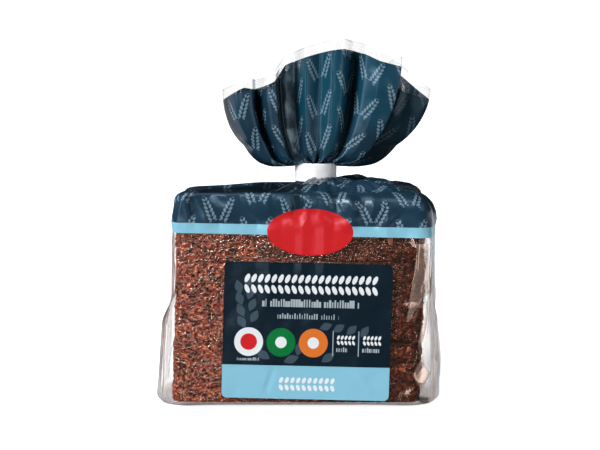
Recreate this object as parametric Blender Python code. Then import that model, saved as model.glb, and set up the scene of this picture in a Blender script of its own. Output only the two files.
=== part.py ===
"""A sliced block of black bread in a clear film bag whose neck is held by a strip of white tape.

The bag is modelled shut, as one closed body with the bread in it, standing on its base. Above the
tape the film flares into an open, folded ruffle with a thin wall. The tape is a ring round the neck.
The front faces -Y, +Z is up, and the origin is on the ground under the middle of the bag.
"""

import math

import bmesh
import bpy
from mathutils import Vector

# The bread inside, which gives the bag its size
SLICE_COUNT = 10
SLICE_THICKNESS = 0.00812
LOAF_WIDTH = 0.1014
LOAF_DEPTH = 0.0700
LOAF_CORNER = 0.0055
BREAD_BASE = 0.0022
BREAD_TOP = BREAD_BASE + SLICE_COUNT * SLICE_THICKNESS
STACK_SHIFT_LOW = -0.0007
STACK_SHIFT_HIGH = 0.0016

# The film round the bread
FILM_CLEARANCE = 0.0011
SIDE_REACH = 0.0596
LEFT_FLARE_TOP = 0.047
LEFT_FLARE_FULL = 0.030
LEFT_FLARE_SHARE = 0.8
RIGHT_SLACK_HIGH = 0.0042
RIGHT_SLACK_SPAN = (0.010, 0.055)
SLACK_FADE = (0.75, 0.98)
BASE_RISE_MIDDLE = 0.0020
BASE_RISE_CORNER = 0.0008
BASE_INSET_MIDDLE = 0.0060
BASE_INSET_CORNER = 0.0010
BASE_CURL_FADE = (0.35, 0.85)
SHOULDER_TOP = 0.0872
FRONT_EDGE_ROUND = 0.0024
LEFT_EDGE_ROUND = 0.0072
RIGHT_EDGE_ROUND = 0.0100
EDGE_ROUND_FADE = (0.72, 0.97)
SHOULDER_SAG = 0.0014
SHOULDER_PUFF = 0.0018
SAG_FADE = (0.15, -0.35)
SHOULDER_PLEATS = 13
SHOULDER_PLEAT_DEPTH = 0.0007

# The neck and the tape round it
NECK_X = 0.0074
NECK_HALF_WIDTH = 0.0080
NECK_HALF_DEPTH = 0.0071
NECK_LOW = 0.0896
TAPE_HEIGHT = 0.0080
NECK_HIGH = NECK_LOW + TAPE_HEIGHT
TAPE_GAP = 0.0003
TAPE_WALL = 0.0006
TAPE_LAP_WALL = 0.0004
TAPE_LAP_FROM = math.radians(-150)
TAPE_LAP_TO = math.radians(-95)
TAPE_EDGE_ROUND = 0.0002
COLLAR = 2 * TAPE_GAP + TAPE_WALL + TAPE_LAP_WALL
NECK_FOOT = NECK_LOW - TAPE_GAP
NECK_HEAD = NECK_HIGH + TAPE_GAP

# The ruffle above the tape
RUFFLE_WALL = 0.0008
RUFFLE_TOP_X = 0.012
RUFFLE_RISE = 0.0510
RUFFLE_SIDE_FALL = 0.0210
RUFFLE_FALL_POWER = 1.6
LEFT_TIP_X = -0.0389
RIGHT_TIP_X = 0.0479
RUFFLE_SPREAD_LEFT = 2.0
RUFFLE_SPREAD_RIGHT = 1.65
SPREAD_FADE = (-0.6, 0.8)
RUFFLE_CLIMB_POWER = 1.9
RUFFLE_DROOP = 0.0034
RUFFLE_DROOP_SPAN = 0.45
FUNNEL_FLOOR = 0.0050
FUNNEL_FLOOR_INSET = 0.0009

# Folds of the ruffle's front wall from left to right: sideways place from the neck, reach towards the
# front, and how far the rim there stands over the even curve of the rim
FRONT_FOLDS = (
    (-0.0335, 0.0100, -0.0010),
    (-0.0265, 0.0098, -0.0016),
    (-0.0250, 0.0016, -0.0005),
    (-0.0205, 0.0092, -0.0048),
    (-0.0150, 0.0100, -0.0062),
    (-0.0125, 0.0014, -0.0010),
    (-0.0075, 0.0034, -0.0005),
    (-0.0035, 0.0108, 0.0000),
    (0.0020, 0.0066, 0.0000),
    (0.0065, 0.0110, 0.0000),
    (0.0118, 0.0104, 0.0000),
    (0.0158, 0.0016, -0.0006),
    (0.0205, 0.0084, 0.0000),
    (0.0265, 0.0106, 0.0000),
    (0.0356, 0.0092, 0.0034),
    (0.0312, 0.0042, -0.0010),
    (0.0290, 0.0014, -0.0080),
    (0.0390, 0.0022, -0.0050),
)

# The back wall follows the folds of the front wall at about this distance
BACK_FOLD_COUNT = 19
MOUTH_WIDTH = 0.0126
BACK_CREST_REACH = 0.0096
BACK_VALLEY_REACH = 0.0016
BACK_LOOK_SPAN = 0.0018

# How finely the surfaces are divided
ROUND_STEPS = 96
CURVE_SUBSTEPS = 24
BASE_TURNS = (1.0, 0.7, 0.35, 0.0)
BODY_HEIGHTS = (0.0070, 0.0160, 0.0240, 0.0310, 0.0370, 0.0430, 0.0500, 0.0600, 0.0700)
EDGE_STEPS = 3
SHOULDER_STEPS = 6
RUFFLE_STEPS = 10
INNER_WALL_FROM = 5
TAPE_STEPS = 64
SHARP_ANGLE = math.radians(50)

# Colour and roughness of the film and of the tape
PRINTED_FILM = ((0.045, 0.085, 0.125), 0.30)
WHITE_TAPE = ((0.86, 0.87, 0.90), 0.35)


def smooth_step(low, high, value):
    """Runs smoothly from 0 at low to 1 at high."""
    t = min(max((value - low) / (high - low), 0.0), 1.0)
    return t * t * (3 - 2 * t)


def mix(a, b, share):
    """The value between a and b at that share of the way."""
    return a + (b - a) * share


def rounded_rectangle(share, half_x, half_y, corner):
    """A point at a share of the way round a rounded rectangle, from the middle of the front to the right."""
    straight_x, straight_y = half_x - corner, half_y - corner
    arc = math.pi / 2 * corner
    left = share % 1.0 * (4 * straight_x + 4 * straight_y + 4 * arc)
    x, y = 0.0, -half_y
    heading = 0.0
    for run in (straight_x, 2 * straight_y, 2 * straight_x, 2 * straight_y, straight_x):
        step = min(left, run)
        x += step * math.cos(heading)
        y += step * math.sin(heading)
        left -= step
        if left <= 0:
            break
        turn = min(left / corner, math.pi / 2)
        centre_x = x - corner * math.sin(heading)
        centre_y = y + corner * math.cos(heading)
        heading += turn
        x = centre_x + corner * math.sin(heading)
        y = centre_y - corner * math.cos(heading)
        left -= turn * corner
        if left <= 1e-12:
            break
    return x, y


def stack_centre(height):
    """How far the leaning stack of slices is shifted sideways at a height."""
    return mix(STACK_SHIFT_LOW, STACK_SHIFT_HIGH, min(height / BREAD_TOP, 1.0))


def side_slack(side, height):
    """How far the film stands off the bread in the middle of its left or right side."""
    film_side = LOAF_WIDTH / 2 + FILM_CLEARANCE
    if side < 0:
        full = SIDE_REACH - film_side + stack_centre(0.0)
        grown = smooth_step(LEFT_FLARE_TOP, LEFT_FLARE_FULL, height)
        low = smooth_step(LEFT_FLARE_FULL, 0.0, height)
        return full * mix(low, grown, LEFT_FLARE_SHARE)
    full = SIDE_REACH - film_side - stack_centre(0.0)
    return mix(full, RIGHT_SLACK_HIGH, smooth_step(*RIGHT_SLACK_SPAN, height))


def body_point(share, height):
    """A point of the bag's wall round the bread, on the ground plan."""
    half_x = LOAF_WIDTH / 2 + FILM_CLEARANCE
    half_y = LOAF_DEPTH / 2 + FILM_CLEARANCE
    x, y = rounded_rectangle(share, half_x, half_y, LOAF_CORNER)
    bow = 1 - (y / half_y) ** 2
    side = math.copysign(1.0, x)
    x += side * side_slack(side, height) * bow * smooth_step(*SLACK_FADE, abs(x) / half_x)
    return Vector((x + stack_centre(height), y))


def neck_point(share, out=0.0):
    """A point of the gathered neck, or of a line that far out from it, on the ground plan."""
    angle = 2 * math.pi * share
    half_x, half_y = NECK_HALF_WIDTH + out, NECK_HALF_DEPTH + out
    return Vector((NECK_X + half_x * math.sin(angle), -half_y * math.cos(angle)))


def edge_round(share):
    """Radius of the bag's top edge: small along front and back, larger at the sides."""
    sideways = math.sin(2 * math.pi * share)
    side_round = RIGHT_EDGE_ROUND if sideways > 0 else LEFT_EDGE_ROUND
    return mix(FRONT_EDGE_ROUND, side_round, smooth_step(*EDGE_ROUND_FADE, abs(sideways)))


def base_curl(share):
    """How far the bottom edge is drawn in and up: most in the middle of the front and back."""
    middle = smooth_step(*BASE_CURL_FADE, abs(math.cos(2 * math.pi * share)))
    return mix(BASE_INSET_CORNER, BASE_INSET_MIDDLE, middle), mix(BASE_RISE_CORNER, BASE_RISE_MIDDLE, middle)


def inset(point, centre_x, distance):
    """The point moved that distance inwards from the front or back, and from the left or right."""
    half_x = LOAF_WIDTH / 2 + FILM_CLEARANCE
    half_y = LOAF_DEPTH / 2 + FILM_CLEARANCE
    return Vector((mix(point.x, centre_x, distance / half_x), point.y * (1 - distance / half_y)))


def edge_point(share, turn):
    """A point on the rounded top edge, turn running from 0 at the wall to 1 at the top."""
    radius = edge_round(share)
    low = SHOULDER_TOP - radius
    angle = turn * math.pi / 2
    plan = inset(body_point(share, low), stack_centre(low), radius * (1 - math.cos(angle)))
    return Vector((plan.x, plan.y, low + radius * math.sin(angle)))


def shoulder_point(share, way):
    """A point on the shoulder, way running from 0 at the top edge to 1 at the neck."""
    start = edge_point(share, 1.0)
    end = neck_point(share, COLLAR)
    plan = Vector((start.x, start.y)).lerp(end, way)
    hump = 4 * way * (1 - way)
    sideways = math.sin(2 * math.pi * share)
    sag = mix(-SHOULDER_PUFF, SHOULDER_SAG, smooth_step(*SAG_FADE, sideways)) * hump
    pleat = SHOULDER_PLEAT_DEPTH * math.cos(2 * math.pi * SHOULDER_PLEATS * share) * hump
    climb = (NECK_FOOT - SHOULDER_TOP) * way ** 3
    return Vector((plan.x, plan.y, SHOULDER_TOP + climb - sag + pleat))


def rim_rise(x):
    """Height of the ruffle's rim over the tape, at a place sideways from the neck."""
    tip = LEFT_TIP_X if x < RUFFLE_TOP_X else RIGHT_TIP_X
    share = abs((x - RUFFLE_TOP_X) / (tip - RUFFLE_TOP_X))
    return RUFFLE_RISE - RUFFLE_SIDE_FALL * share ** RUFFLE_FALL_POWER


def rim_folds():
    """The rim's fold points in two runs, the front from left to right and the back from right to left."""
    left_tip = Vector((LEFT_TIP_X, 0, rim_rise(LEFT_TIP_X)))
    right_tip = Vector((RIGHT_TIP_X, 0, rim_rise(RIGHT_TIP_X)))
    front = [left_tip]
    front += [Vector((x, -reach, rim_rise(x) + extra)) for x, reach, extra in FRONT_FOLDS]
    front += [right_tip]
    front_curve = smooth_curve(front, front[0], front[-1])
    back = [right_tip]
    for i in range(1, BACK_FOLD_COUNT + 1):
        x = mix(RIGHT_TIP_X, LEFT_TIP_X, i / (BACK_FOLD_COUNT + 1))
        facing = max((-p.y for p in front_curve if abs(p.x - x) < BACK_LOOK_SPAN), default=0.0)
        reach = min(max(MOUTH_WIDTH - facing, BACK_VALLEY_REACH), BACK_CREST_REACH)
        back.append(Vector((x, reach, rim_rise(x))))
    back += [left_tip]
    return front, back


def smooth_curve(points, before, after):
    """Many points along a Catmull-Rom curve through the points."""
    ends = [before, *points, after]
    found = []
    for a, b, c, d in zip(ends, ends[1:], ends[2:], ends[3:]):
        for step in range(CURVE_SUBSTEPS):
            t = step / CURVE_SUBSTEPS
            found.append(
                0.5 * (2 * b + (c - a) * t + (2 * a - 5 * b + 4 * c - d) * t ** 2 + (3 * b - a - 3 * c + d) * t ** 3)
            )
    return [*found, points[-1]]


def evenly_along(curve, count):
    """Count points spread evenly by length along a curve, without its last point."""
    lengths = [0.0]
    for a, b in zip(curve, curve[1:]):
        lengths.append(lengths[-1] + (b - a).length)
    found = []
    i = 0
    for k in range(count):
        target = lengths[-1] * k / count
        while lengths[i + 1] < target:
            i += 1
        found.append(curve[i].lerp(curve[i + 1], (target - lengths[i]) / (lengths[i + 1] - lengths[i])))
    return found


def rim_points():
    """The rim at each step round the bag, from the middle of the front to the right."""
    front, back = rim_folds()
    half = ROUND_STEPS // 2
    front_run = evenly_along(smooth_curve(front, back[-2], back[1]), half)
    back_run = evenly_along(smooth_curve(back, front[-2], front[1]), half)
    whole = front_run + back_run
    quarter = ROUND_STEPS // 4
    return whole[quarter:] + whole[:quarter]


def ruffle_point(rim, share, way):
    """A point of the ruffle's outer side, way running from 0 at the tape to 1 at the rim."""
    to_right = smooth_step(*SPREAD_FADE, math.sin(2 * math.pi * share))
    spread = 1 - (1 - way) ** mix(RUFFLE_SPREAD_LEFT, RUFFLE_SPREAD_RIGHT, to_right)
    start = neck_point(share, COLLAR)
    plan = start.lerp(Vector((NECK_X + rim.x, rim.y)), spread)
    near = min(way / RUFFLE_DROOP_SPAN, 1.0)
    droop = RUFFLE_DROOP * math.sin(2 * math.pi * share) ** 2 * 4 * near * (1 - near)
    return Vector((plan.x, plan.y, NECK_HEAD + rim.z * way ** RUFFLE_CLIMB_POWER - droop))


def way_at_height(rim, share, height):
    """Where a line of the ruffle reaches a height, found by halving."""
    low, high = 0.1, 1.0
    for _ in range(30):
        middle = (low + high) / 2
        if ruffle_point(rim, share, middle).z < height:
            low = middle
        else:
            high = middle
    return high


def plan_inset(ring, distance):
    """A ring moved inwards on the ground plan, each point square to its neighbours' line."""
    found = []
    for i, point in enumerate(ring):
        along = ring[(i + 1) % len(ring)] - ring[i - 1]
        inward = Vector((-along.y, along.x, 0)).normalized()
        found.append(point + inward * distance)
    return found


def bag_rings():
    """The bag's cross-sections in order: base, wall, top edge, shoulder, neck, ruffle and its inside."""
    shares = [i / ROUND_STEPS for i in range(ROUND_STEPS)]
    rings = []
    for turn in BASE_TURNS:
        ring = []
        for share in shares:
            drawn_in, drawn_up = base_curl(share)
            angle = turn * math.pi / 2
            plan = inset(body_point(share, 0), stack_centre(0), drawn_in * (1 - math.cos(angle)))
            ring.append(Vector((plan.x, plan.y, drawn_up * (1 - math.sin(angle)))))
        rings.append(ring)
    for height in BODY_HEIGHTS:
        rings.append([Vector((*body_point(share, height), height)) for share in shares])
    for step in range(EDGE_STEPS + 1):
        rings.append([edge_point(share, step / EDGE_STEPS) for share in shares])
    for step in range(1, SHOULDER_STEPS + 1):
        rings.append([shoulder_point(share, step / SHOULDER_STEPS) for share in shares])
    for height in (NECK_FOOT, NECK_HEAD):
        rings.append([Vector((*neck_point(share), height)) for share in shares])
    rims = rim_points()
    lines = list(zip(rims, shares))
    outer = []
    for step in range(RUFFLE_STEPS + 1):
        outer.append([ruffle_point(rim, share, step / RUFFLE_STEPS) for rim, share in lines])
    rings += outer
    rings += [plan_inset(ring, RUFFLE_WALL) for ring in reversed(outer[INNER_WALL_FROM:])]
    floor_height = NECK_HIGH + FUNNEL_FLOOR
    floor = [ruffle_point(rim, share, way_at_height(rim, share, floor_height)) for rim, share in lines]
    floor = plan_inset(floor, FUNNEL_FLOOR_INSET)
    for point in floor:
        point.z = floor_height
    return [*rings, floor]


def finish(name, bm, material):
    """Makes an object of a bmesh, smooth with sharp folds, and gives it its material."""
    bmesh.ops.recalc_face_normals(bm, faces=bm.faces)
    mesh = bpy.data.meshes.new(name)
    bm.to_mesh(mesh)
    bm.free()
    mesh.shade_smooth()
    mesh.set_sharp_from_angle(angle=SHARP_ANGLE)
    mesh.materials.append(material)
    made = bpy.data.objects.new(name, mesh)
    bpy.context.scene.collection.objects.link(made)
    return made


def make_material(name, colour, roughness):
    """A plain Principled material."""
    material = bpy.data.materials.new(name)
    material.use_nodes = True
    shader = material.node_tree.nodes["Principled BSDF"]
    shader.inputs["Base Color"].default_value = (*colour, 1.0)
    shader.inputs["Roughness"].default_value = roughness
    shader.inputs["Metallic"].default_value = 0.0
    return material


def make_bag(material):
    """The shut bag with the bread in it, drawn up ring by ring from its flat base."""
    bm = bmesh.new()
    rings = bag_rings()
    loop = [bm.verts.new(point) for point in rings[0]]
    edges = [bm.edges.new((loop[i - 1], loop[i])) for i in range(len(loop))]
    bmesh.ops.contextual_create(bm, geom=edges)
    for ring in rings[1:]:
        drawn = bmesh.ops.extrude_edge_only(bm, edges=edges)["geom"]
        edges = [part for part in drawn if isinstance(part, bmesh.types.BMEdge)]
        places = {old: new for old, new in zip(loop, ring)}
        fresh = [part for part in drawn if isinstance(part, bmesh.types.BMVert)]
        following = {}
        for vert in fresh:
            old = next(e.other_vert(vert) for e in vert.link_edges if e.other_vert(vert) in places)
            following[old] = vert
            vert.co = places[old]
        loop = [following[old] for old in loop]
    bmesh.ops.contextual_create(bm, geom=edges)
    return finish("bag", bm, material)


def make_tape(material):
    """The strip of tape round the neck, a thin oval ring with one end lapped over the other."""
    bm = bmesh.new()
    inner = NECK_HALF_WIDTH + TAPE_GAP
    outer = inner + TAPE_WALL
    profile = [
        (inner, NECK_LOW),
        (outer - TAPE_EDGE_ROUND, NECK_LOW),
        (outer, NECK_LOW + TAPE_EDGE_ROUND),
        (outer, NECK_HIGH - TAPE_EDGE_ROUND),
        (outer - TAPE_EDGE_ROUND, NECK_HIGH),
        (inner, NECK_HIGH),
    ]
    verts = [bm.verts.new((radius, 0, height)) for radius, height in profile]
    edges = [bm.edges.new((verts[i - 1], verts[i])) for i in range(len(verts))]
    bmesh.ops.spin(
        bm, geom=verts + edges, axis=(0, 0, 1), cent=(0, 0, 0), dvec=(0, 0, 0),
        angle=2 * math.pi, steps=TAPE_STEPS, use_merge=True, use_duplicate=False,
    )
    bmesh.ops.remove_doubles(bm, verts=bm.verts, dist=1e-6)
    gap_y = NECK_HALF_DEPTH + TAPE_GAP
    for vert in bm.verts:
        radius = math.hypot(vert.co.x, vert.co.y)
        angle = math.atan2(vert.co.y, vert.co.x)
        proud = radius - inner
        if proud > TAPE_WALL / 2 and TAPE_LAP_FROM < angle < TAPE_LAP_TO:
            proud += TAPE_LAP_WALL
        vert.co.x = NECK_X + (inner + proud) * math.cos(angle)
        vert.co.y = (gap_y + proud) * math.sin(angle)
    return finish("neck_tape", bm, material)


def clear_scene():
    """Removes what the scene holds."""
    for old in list(bpy.data.objects):
        bpy.data.objects.remove(old, do_unlink=True)


def main():
    """Builds the bag and its tape."""
    clear_scene()
    make_bag(make_material("printed_film", *PRINTED_FILM))
    make_tape(make_material("white_tape", *WHITE_TAPE))


if __name__ == "__main__":
    main()
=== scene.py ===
"""The looks of a bag of sliced black bread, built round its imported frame.

The bread is a leaning stack of slices with kernels in it. The film round it is clear below and printed
above, drawn together into a neck, and flares into a pleated ruffle over a strip of white tape. Lengths
are in metres, and print on the film is laid out in millimetres of film. The front faces -Y.
"""

import logging
import math
import random
from dataclasses import dataclass, field
from enum import Enum

import bmesh
import bpy
import numpy as np
from mathutils import Euler, Matrix, Vector, noise


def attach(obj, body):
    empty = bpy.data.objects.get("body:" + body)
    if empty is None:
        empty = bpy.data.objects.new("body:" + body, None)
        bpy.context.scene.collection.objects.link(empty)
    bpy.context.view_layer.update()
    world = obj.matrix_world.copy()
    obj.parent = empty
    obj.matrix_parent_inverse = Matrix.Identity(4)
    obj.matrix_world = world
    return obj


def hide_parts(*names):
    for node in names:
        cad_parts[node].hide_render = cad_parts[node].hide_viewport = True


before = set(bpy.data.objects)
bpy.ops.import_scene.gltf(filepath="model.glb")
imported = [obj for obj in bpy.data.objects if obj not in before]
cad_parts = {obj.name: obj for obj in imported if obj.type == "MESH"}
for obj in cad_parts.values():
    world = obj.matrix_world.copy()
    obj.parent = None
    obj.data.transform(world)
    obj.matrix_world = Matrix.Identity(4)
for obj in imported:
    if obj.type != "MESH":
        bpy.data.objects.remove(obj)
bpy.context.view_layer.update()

LOG = logging.getLogger("black_bread")
BODY = "root"
MM = 1000.0
SEED_STEPS = (7.3, 3.1, 5.7)
NECK_PLEATS = 24
PLEAT_SHARPNESS = 1.6
LEAF_POINT = 1.7
TINY = 1e-9
WHITE = (1.0, 1.0, 1.0)

Colour = tuple[float, float, float]
Span = tuple[float, float]


def srgb(red: float, green: float, blue: float) -> Colour:
    """Returns the linear colour of a screen colour given from 0 to 255."""
    shares = (red / 255, green / 255, blue / 255)
    return tuple(((c + 0.055) / 1.055) ** 2.4 if c > 0.0404 else c / 12.92 for c in shares)


def smooth_step(low: float, high: float, value: np.ndarray | float) -> np.ndarray:
    """Returns values that run smoothly from 0 at low to 1 at high."""
    share = np.clip((np.asarray(value, float) - low) / (high - low), 0.0, 1.0)
    return share * share * (3 - 2 * share)


def mix(a: np.ndarray | float, b: np.ndarray | float, share: np.ndarray | float) -> np.ndarray:
    """Returns the values between a and b at that share of the way."""
    return a + (b - a) * share


def noise_places(points: np.ndarray, size: float, seed: float) -> list[Vector]:
    """Returns where points lie in a noise with lumps of that size, moved by its seed."""
    shift = Vector([seed * step for step in SEED_STEPS])
    return [Vector(point) / size + shift for point in points]


def noise_at(points: np.ndarray, size: float, seed: float) -> np.ndarray:
    """Samples smooth noise.

    Args:
        points: One point on each row, in metres.
        size: The size of the noise's lumps, in metres.
        seed: Moves the noise, so that each use has its own.

    Returns:
        A value between about -1 and 1 for each point.
    """
    return np.array([noise.noise(place) for place in noise_places(points, size, seed)])


def turbulence_at(points: np.ndarray, size: float, seed: float, octaves: int) -> np.ndarray:
    """Samples noise with sharp creases, from 0 in the creases up to about 1."""
    return np.array([noise.turbulence(place, octaves, True) for place in noise_places(points, size, seed)])


def cells_at(points: np.ndarray, size: float, seed: float) -> np.ndarray:
    """Samples cell noise: 0 at the middle of each cell and rising to about 1 towards its edge."""
    return np.array([noise.voronoi(place)[0][0] for place in noise_places(points, size, seed)])


def sideways_at(share: np.ndarray) -> np.ndarray:
    """Returns how far to the right shares of the way round lie, from -1 to 1."""
    return np.sin(2 * math.pi * share)


def frontal_at(share: np.ndarray) -> np.ndarray:
    """Returns how far to the front shares of the way round lie, from -1 to 1."""
    return np.cos(2 * math.pi * share)


def on_ring(share: np.ndarray, up: np.ndarray | float = 0.0) -> np.ndarray:
    """Returns points of a ring with a radius of 1, round which noise runs without a seam."""
    return np.stack([frontal_at(share), sideways_at(share), up + 0 * share], axis=1)


def pleats_at(ring: np.ndarray, share: np.ndarray, seed: float, unevenness: float) -> np.ndarray:
    """Returns how deep the neck's uneven pleats are at each share of the way round, from 0 to 1."""
    uneven = noise_at(ring, 0.35, seed) * unevenness
    return (0.5 + 0.5 * np.cos(2 * math.pi * NECK_PLEATS * share + uneven)) ** PLEAT_SHARPNESS


def climbed_along(grid: np.ndarray) -> np.ndarray:
    """Returns the film's length from the first row to each vertex of a grid, in millimetres."""
    climbed = np.zeros(grid.shape[:2])
    climbed[:, 1:] = np.cumsum(np.linalg.norm(np.diff(grid, axis=1), axis=2), axis=1) * MM
    return climbed


class Side(Enum):
    """The way that a crease or a thickness goes from the surface of the film."""

    OUT = 1.0
    IN = -1.0


@dataclass(frozen=True)
class Crease:
    """A straight crease in the film, which bends it into two flat facets.

    Its ends are given in millimetres round the film from the middle of the front, and above the ground.
    """

    start: tuple[float, float]
    end: tuple[float, float]
    width: float
    height: float
    side: Side = Side.OUT

    def rise(self, around: np.ndarray, up: np.ndarray) -> np.ndarray:
        """Measures the crease.

        Args:
            around: Places round the film, in millimetres.
            up: Heights on the film, in millimetres.

        Returns:
            How far the crease moves the film outwards at each place, in millimetres.
        """
        start, end = np.array(self.start), np.array(self.end)
        along = end - start
        length = max(float(np.hypot(*along)), 1e-6)
        du, dv = around - start[0], up - start[1]
        way = np.clip((du * along[0] + dv * along[1]) / length ** 2, 0.0, 1.0)
        away = np.hypot(du - way * along[0], dv - way * along[1])
        taper = np.minimum(1.0, 4 * np.minimum(way + 0.08, 1.08 - way))
        return self.side.value * self.height * taper * np.clip(1 - away / self.width, 0.0, 1.0)


@dataclass
class BagShape:
    """The form of the film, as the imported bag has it, with finer folds."""

    loaf_width: float = 0.1014
    loaf_depth: float = 0.0700
    loaf_corner: float = 0.0055
    bread_top: float = 0.0834
    shift_low: float = -0.0007
    shift_high: float = 0.0016
    clearance: float = 0.0011
    side_reach: float = 0.0596
    flare_top: float = 0.047
    flare_full: float = 0.030
    right_slack_high: float = 0.0042
    shoulder_top: float = 0.0872
    front_round: tuple[float, float] = (0.0014, 0.0062)
    back_round: float = 0.0024
    left_round: float = 0.0072
    right_round: float = 0.0122
    neck_x: float = 0.0074
    neck_half_x: float = 0.0080
    neck_half_y: float = 0.0071
    neck_low: float = 0.0896
    tape_height: float = 0.0080
    collar: float = 0.0016
    table_steps: int = 4096
    table: np.ndarray = field(init=False, repr=False)

    def __post_init__(self) -> None:
        """Works out the outline table of the film round the bread."""
        shares = np.arange(self.table_steps + 1) / self.table_steps
        self.table = np.array([self._outline(share) for share in shares])

    @property
    def neck_high(self) -> float:
        """Returns the height of the tape's upper edge."""
        return self.neck_low + self.tape_height

    @property
    def half_x(self) -> float:
        """Returns half the width of the film where it lies on the bread."""
        return self.loaf_width / 2 + self.clearance

    @property
    def half_y(self) -> float:
        """Returns half the depth of the film where it lies on the bread."""
        return self.loaf_depth / 2 + self.clearance

    @property
    def girth(self) -> float:
        """Returns the length of film round the bread, in millimetres."""
        straight = 4 * (self.half_x + self.half_y - 2 * self.loaf_corner)
        return (straight + 2 * math.pi * self.loaf_corner) * MM

    def _outline(self, share: float) -> tuple[float, float]:
        """Returns the point at a share of the way round a rounded rectangle, from the middle of the front."""
        corner = self.loaf_corner
        straight_x, straight_y = self.half_x - corner, self.half_y - corner
        left = share % 1.0 * self.girth / MM
        x, y, heading = 0.0, -self.half_y, 0.0
        for run in (straight_x, 2 * straight_y, 2 * straight_x, 2 * straight_y, straight_x):
            step = min(left, run)
            x, y = x + step * math.cos(heading), y + step * math.sin(heading)
            left -= step
            turn = min(left / corner, math.pi / 2)
            mid_x, mid_y = x - corner * math.sin(heading), y + corner * math.cos(heading)
            heading += turn
            x, y = mid_x + corner * math.sin(heading), mid_y - corner * math.cos(heading)
            left -= turn * corner
            if left <= 1e-12:
                break
        return x, y

    def stack_centre(self, height: np.ndarray) -> np.ndarray:
        """Returns how far the leaning stack is shifted sideways at each height."""
        return mix(self.shift_low, self.shift_high, np.clip(height / self.bread_top, 0.0, 1.0))

    def slack(self, side: np.ndarray, height: np.ndarray) -> np.ndarray:
        """Returns how far the film stands off the bread's left (-1) or right (1) side at each height."""
        left_full = self.side_reach - self.half_x + self.shift_low
        left = left_full * (
            0.8 * smooth_step(self.flare_top, self.flare_full, height)
            + 0.2 * smooth_step(self.flare_full, 0.0, height)
        )
        right_full = self.side_reach - self.half_x - self.shift_low
        right = mix(right_full, self.right_slack_high, smooth_step(0.010, 0.055, height))
        return np.where(side < 0, left, right)

    def outline_at(self, share: np.ndarray) -> tuple[np.ndarray, ...]:
        """Returns how far sideways and how far back the outline runs at shares of the way round."""
        steps = np.arange(self.table_steps + 1) / self.table_steps
        return tuple(np.interp(share % 1.0, steps, self.table[:, axis]) for axis in (0, 1))

    def wall(self, share: np.ndarray, height: np.ndarray) -> np.ndarray:
        """Places points of the film round the bread.

        Args:
            share: Shares of the way round, from the middle of the front to the right.
            height: Heights above the ground.

        Returns:
            The points' places on the ground plan, one to a row.
        """
        x, y = self.outline_at(share)
        side = np.where(x < 0, -1.0, 1.0)
        bow = (1 - (y / self.half_y) ** 2) * smooth_step(0.75, 0.98, np.abs(x) / self.half_x)
        x = x + side * self.slack(side, height) * bow + self.stack_centre(height)
        return np.stack([x, y], axis=1)

    def neck(self, share: np.ndarray, out: float = 0.0) -> np.ndarray:
        """Returns points of the neck's oval, or of one that far out from it, on the ground plan."""
        x = self.neck_x + (self.neck_half_x + out) * sideways_at(share)
        y = -(self.neck_half_y + out) * frontal_at(share)
        return np.stack([x, y], axis=1)

    def edge_round(self, share: np.ndarray) -> np.ndarray:
        """Returns the radius of the top edge: small along the front and back, larger at the sides."""
        sideways = sideways_at(share)
        side_round = np.where(sideways > 0, self.right_round, self.left_round)
        front = mix(*self.front_round, smooth_step(-0.10, 0.25, sideways))
        along = mix(self.back_round, front, smooth_step(-0.2, 0.2, frontal_at(share)))
        return mix(along, side_round, smooth_step(0.72, 0.97, np.abs(sideways)))

    def drawn_in(self, plan: np.ndarray, centre: np.ndarray, distance: np.ndarray) -> np.ndarray:
        """Returns plan points moved that distance inwards from front and back, left and right."""
        x = mix(plan[:, 0], centre, distance / self.half_x)
        return np.stack([x, plan[:, 1] * (1 - distance / self.half_y)], axis=1)

    def outwards(self, points: np.ndarray, squareness: float) -> np.ndarray:
        """Returns the way out of the bag at points on the plan, straighter on the flats if squarer."""
        out = points[:, :2] / np.array([self.half_x, self.half_y])
        squared = np.sign(out) * np.abs(out) ** squareness
        return squared / np.maximum(np.linalg.norm(squared, axis=1), TINY)[:, None]

    def from_neck(self, points: np.ndarray) -> tuple[np.ndarray, np.ndarray]:
        """Returns how far points lie from the neck's axis, and the way from it to them on the plan."""
        out = points[:, :2] - np.array([self.neck_x, 0.0])
        radius = np.linalg.norm(out, axis=1)
        return radius, out / np.maximum(radius, TINY)[:, None]


def grid_sheet(columns: int, rows: int) -> tuple[bmesh.types.BMesh, np.ndarray, np.ndarray]:
    """Makes a flat grid to be rolled into a tube.

    Args:
        columns: Faces round the tube.
        rows: Faces along the tube.

    Returns:
        The bmesh, and for each vertex its share of the way across, from -0.5 to 0.5, and its row number.
    """
    bm = bmesh.new()
    bmesh.ops.create_grid(bm, x_segments=columns, y_segments=rows, size=0.5)
    bm.verts.ensure_lookup_table()
    flat = np.array([vert.co[:2] for vert in bm.verts])
    return bm, np.clip(flat[:, 0], -0.5, 0.5), np.rint((flat[:, 1] + 0.5) * rows).astype(int)


def lay_out(bm: bmesh.types.BMesh, points: np.ndarray, print_at: np.ndarray, **values: np.ndarray) -> None:
    """Moves a sheet's vertices to their places and gives each its place in the print.

    Args:
        bm: The sheet.
        points: The place of each vertex.
        print_at: The place of each vertex on the flat film, in millimetres.
        values: Further numbers to store on each vertex, by name.
    """
    for name, numbers in values.items():
        store = bm.verts.layers.float.new(name)
        for vert, number in zip(bm.verts, numbers):
            vert[store] = number
    bm.verts.ensure_lookup_table()
    layer = bm.loops.layers.uv.new("film")
    for face in bm.faces:
        for loop in face.loops:
            loop[layer].uv = print_at[loop.vert.index]
    for vert, point in zip(bm.verts, points):
        vert.co = point
    bmesh.ops.remove_doubles(bm, verts=bm.verts, dist=1e-6)


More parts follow.
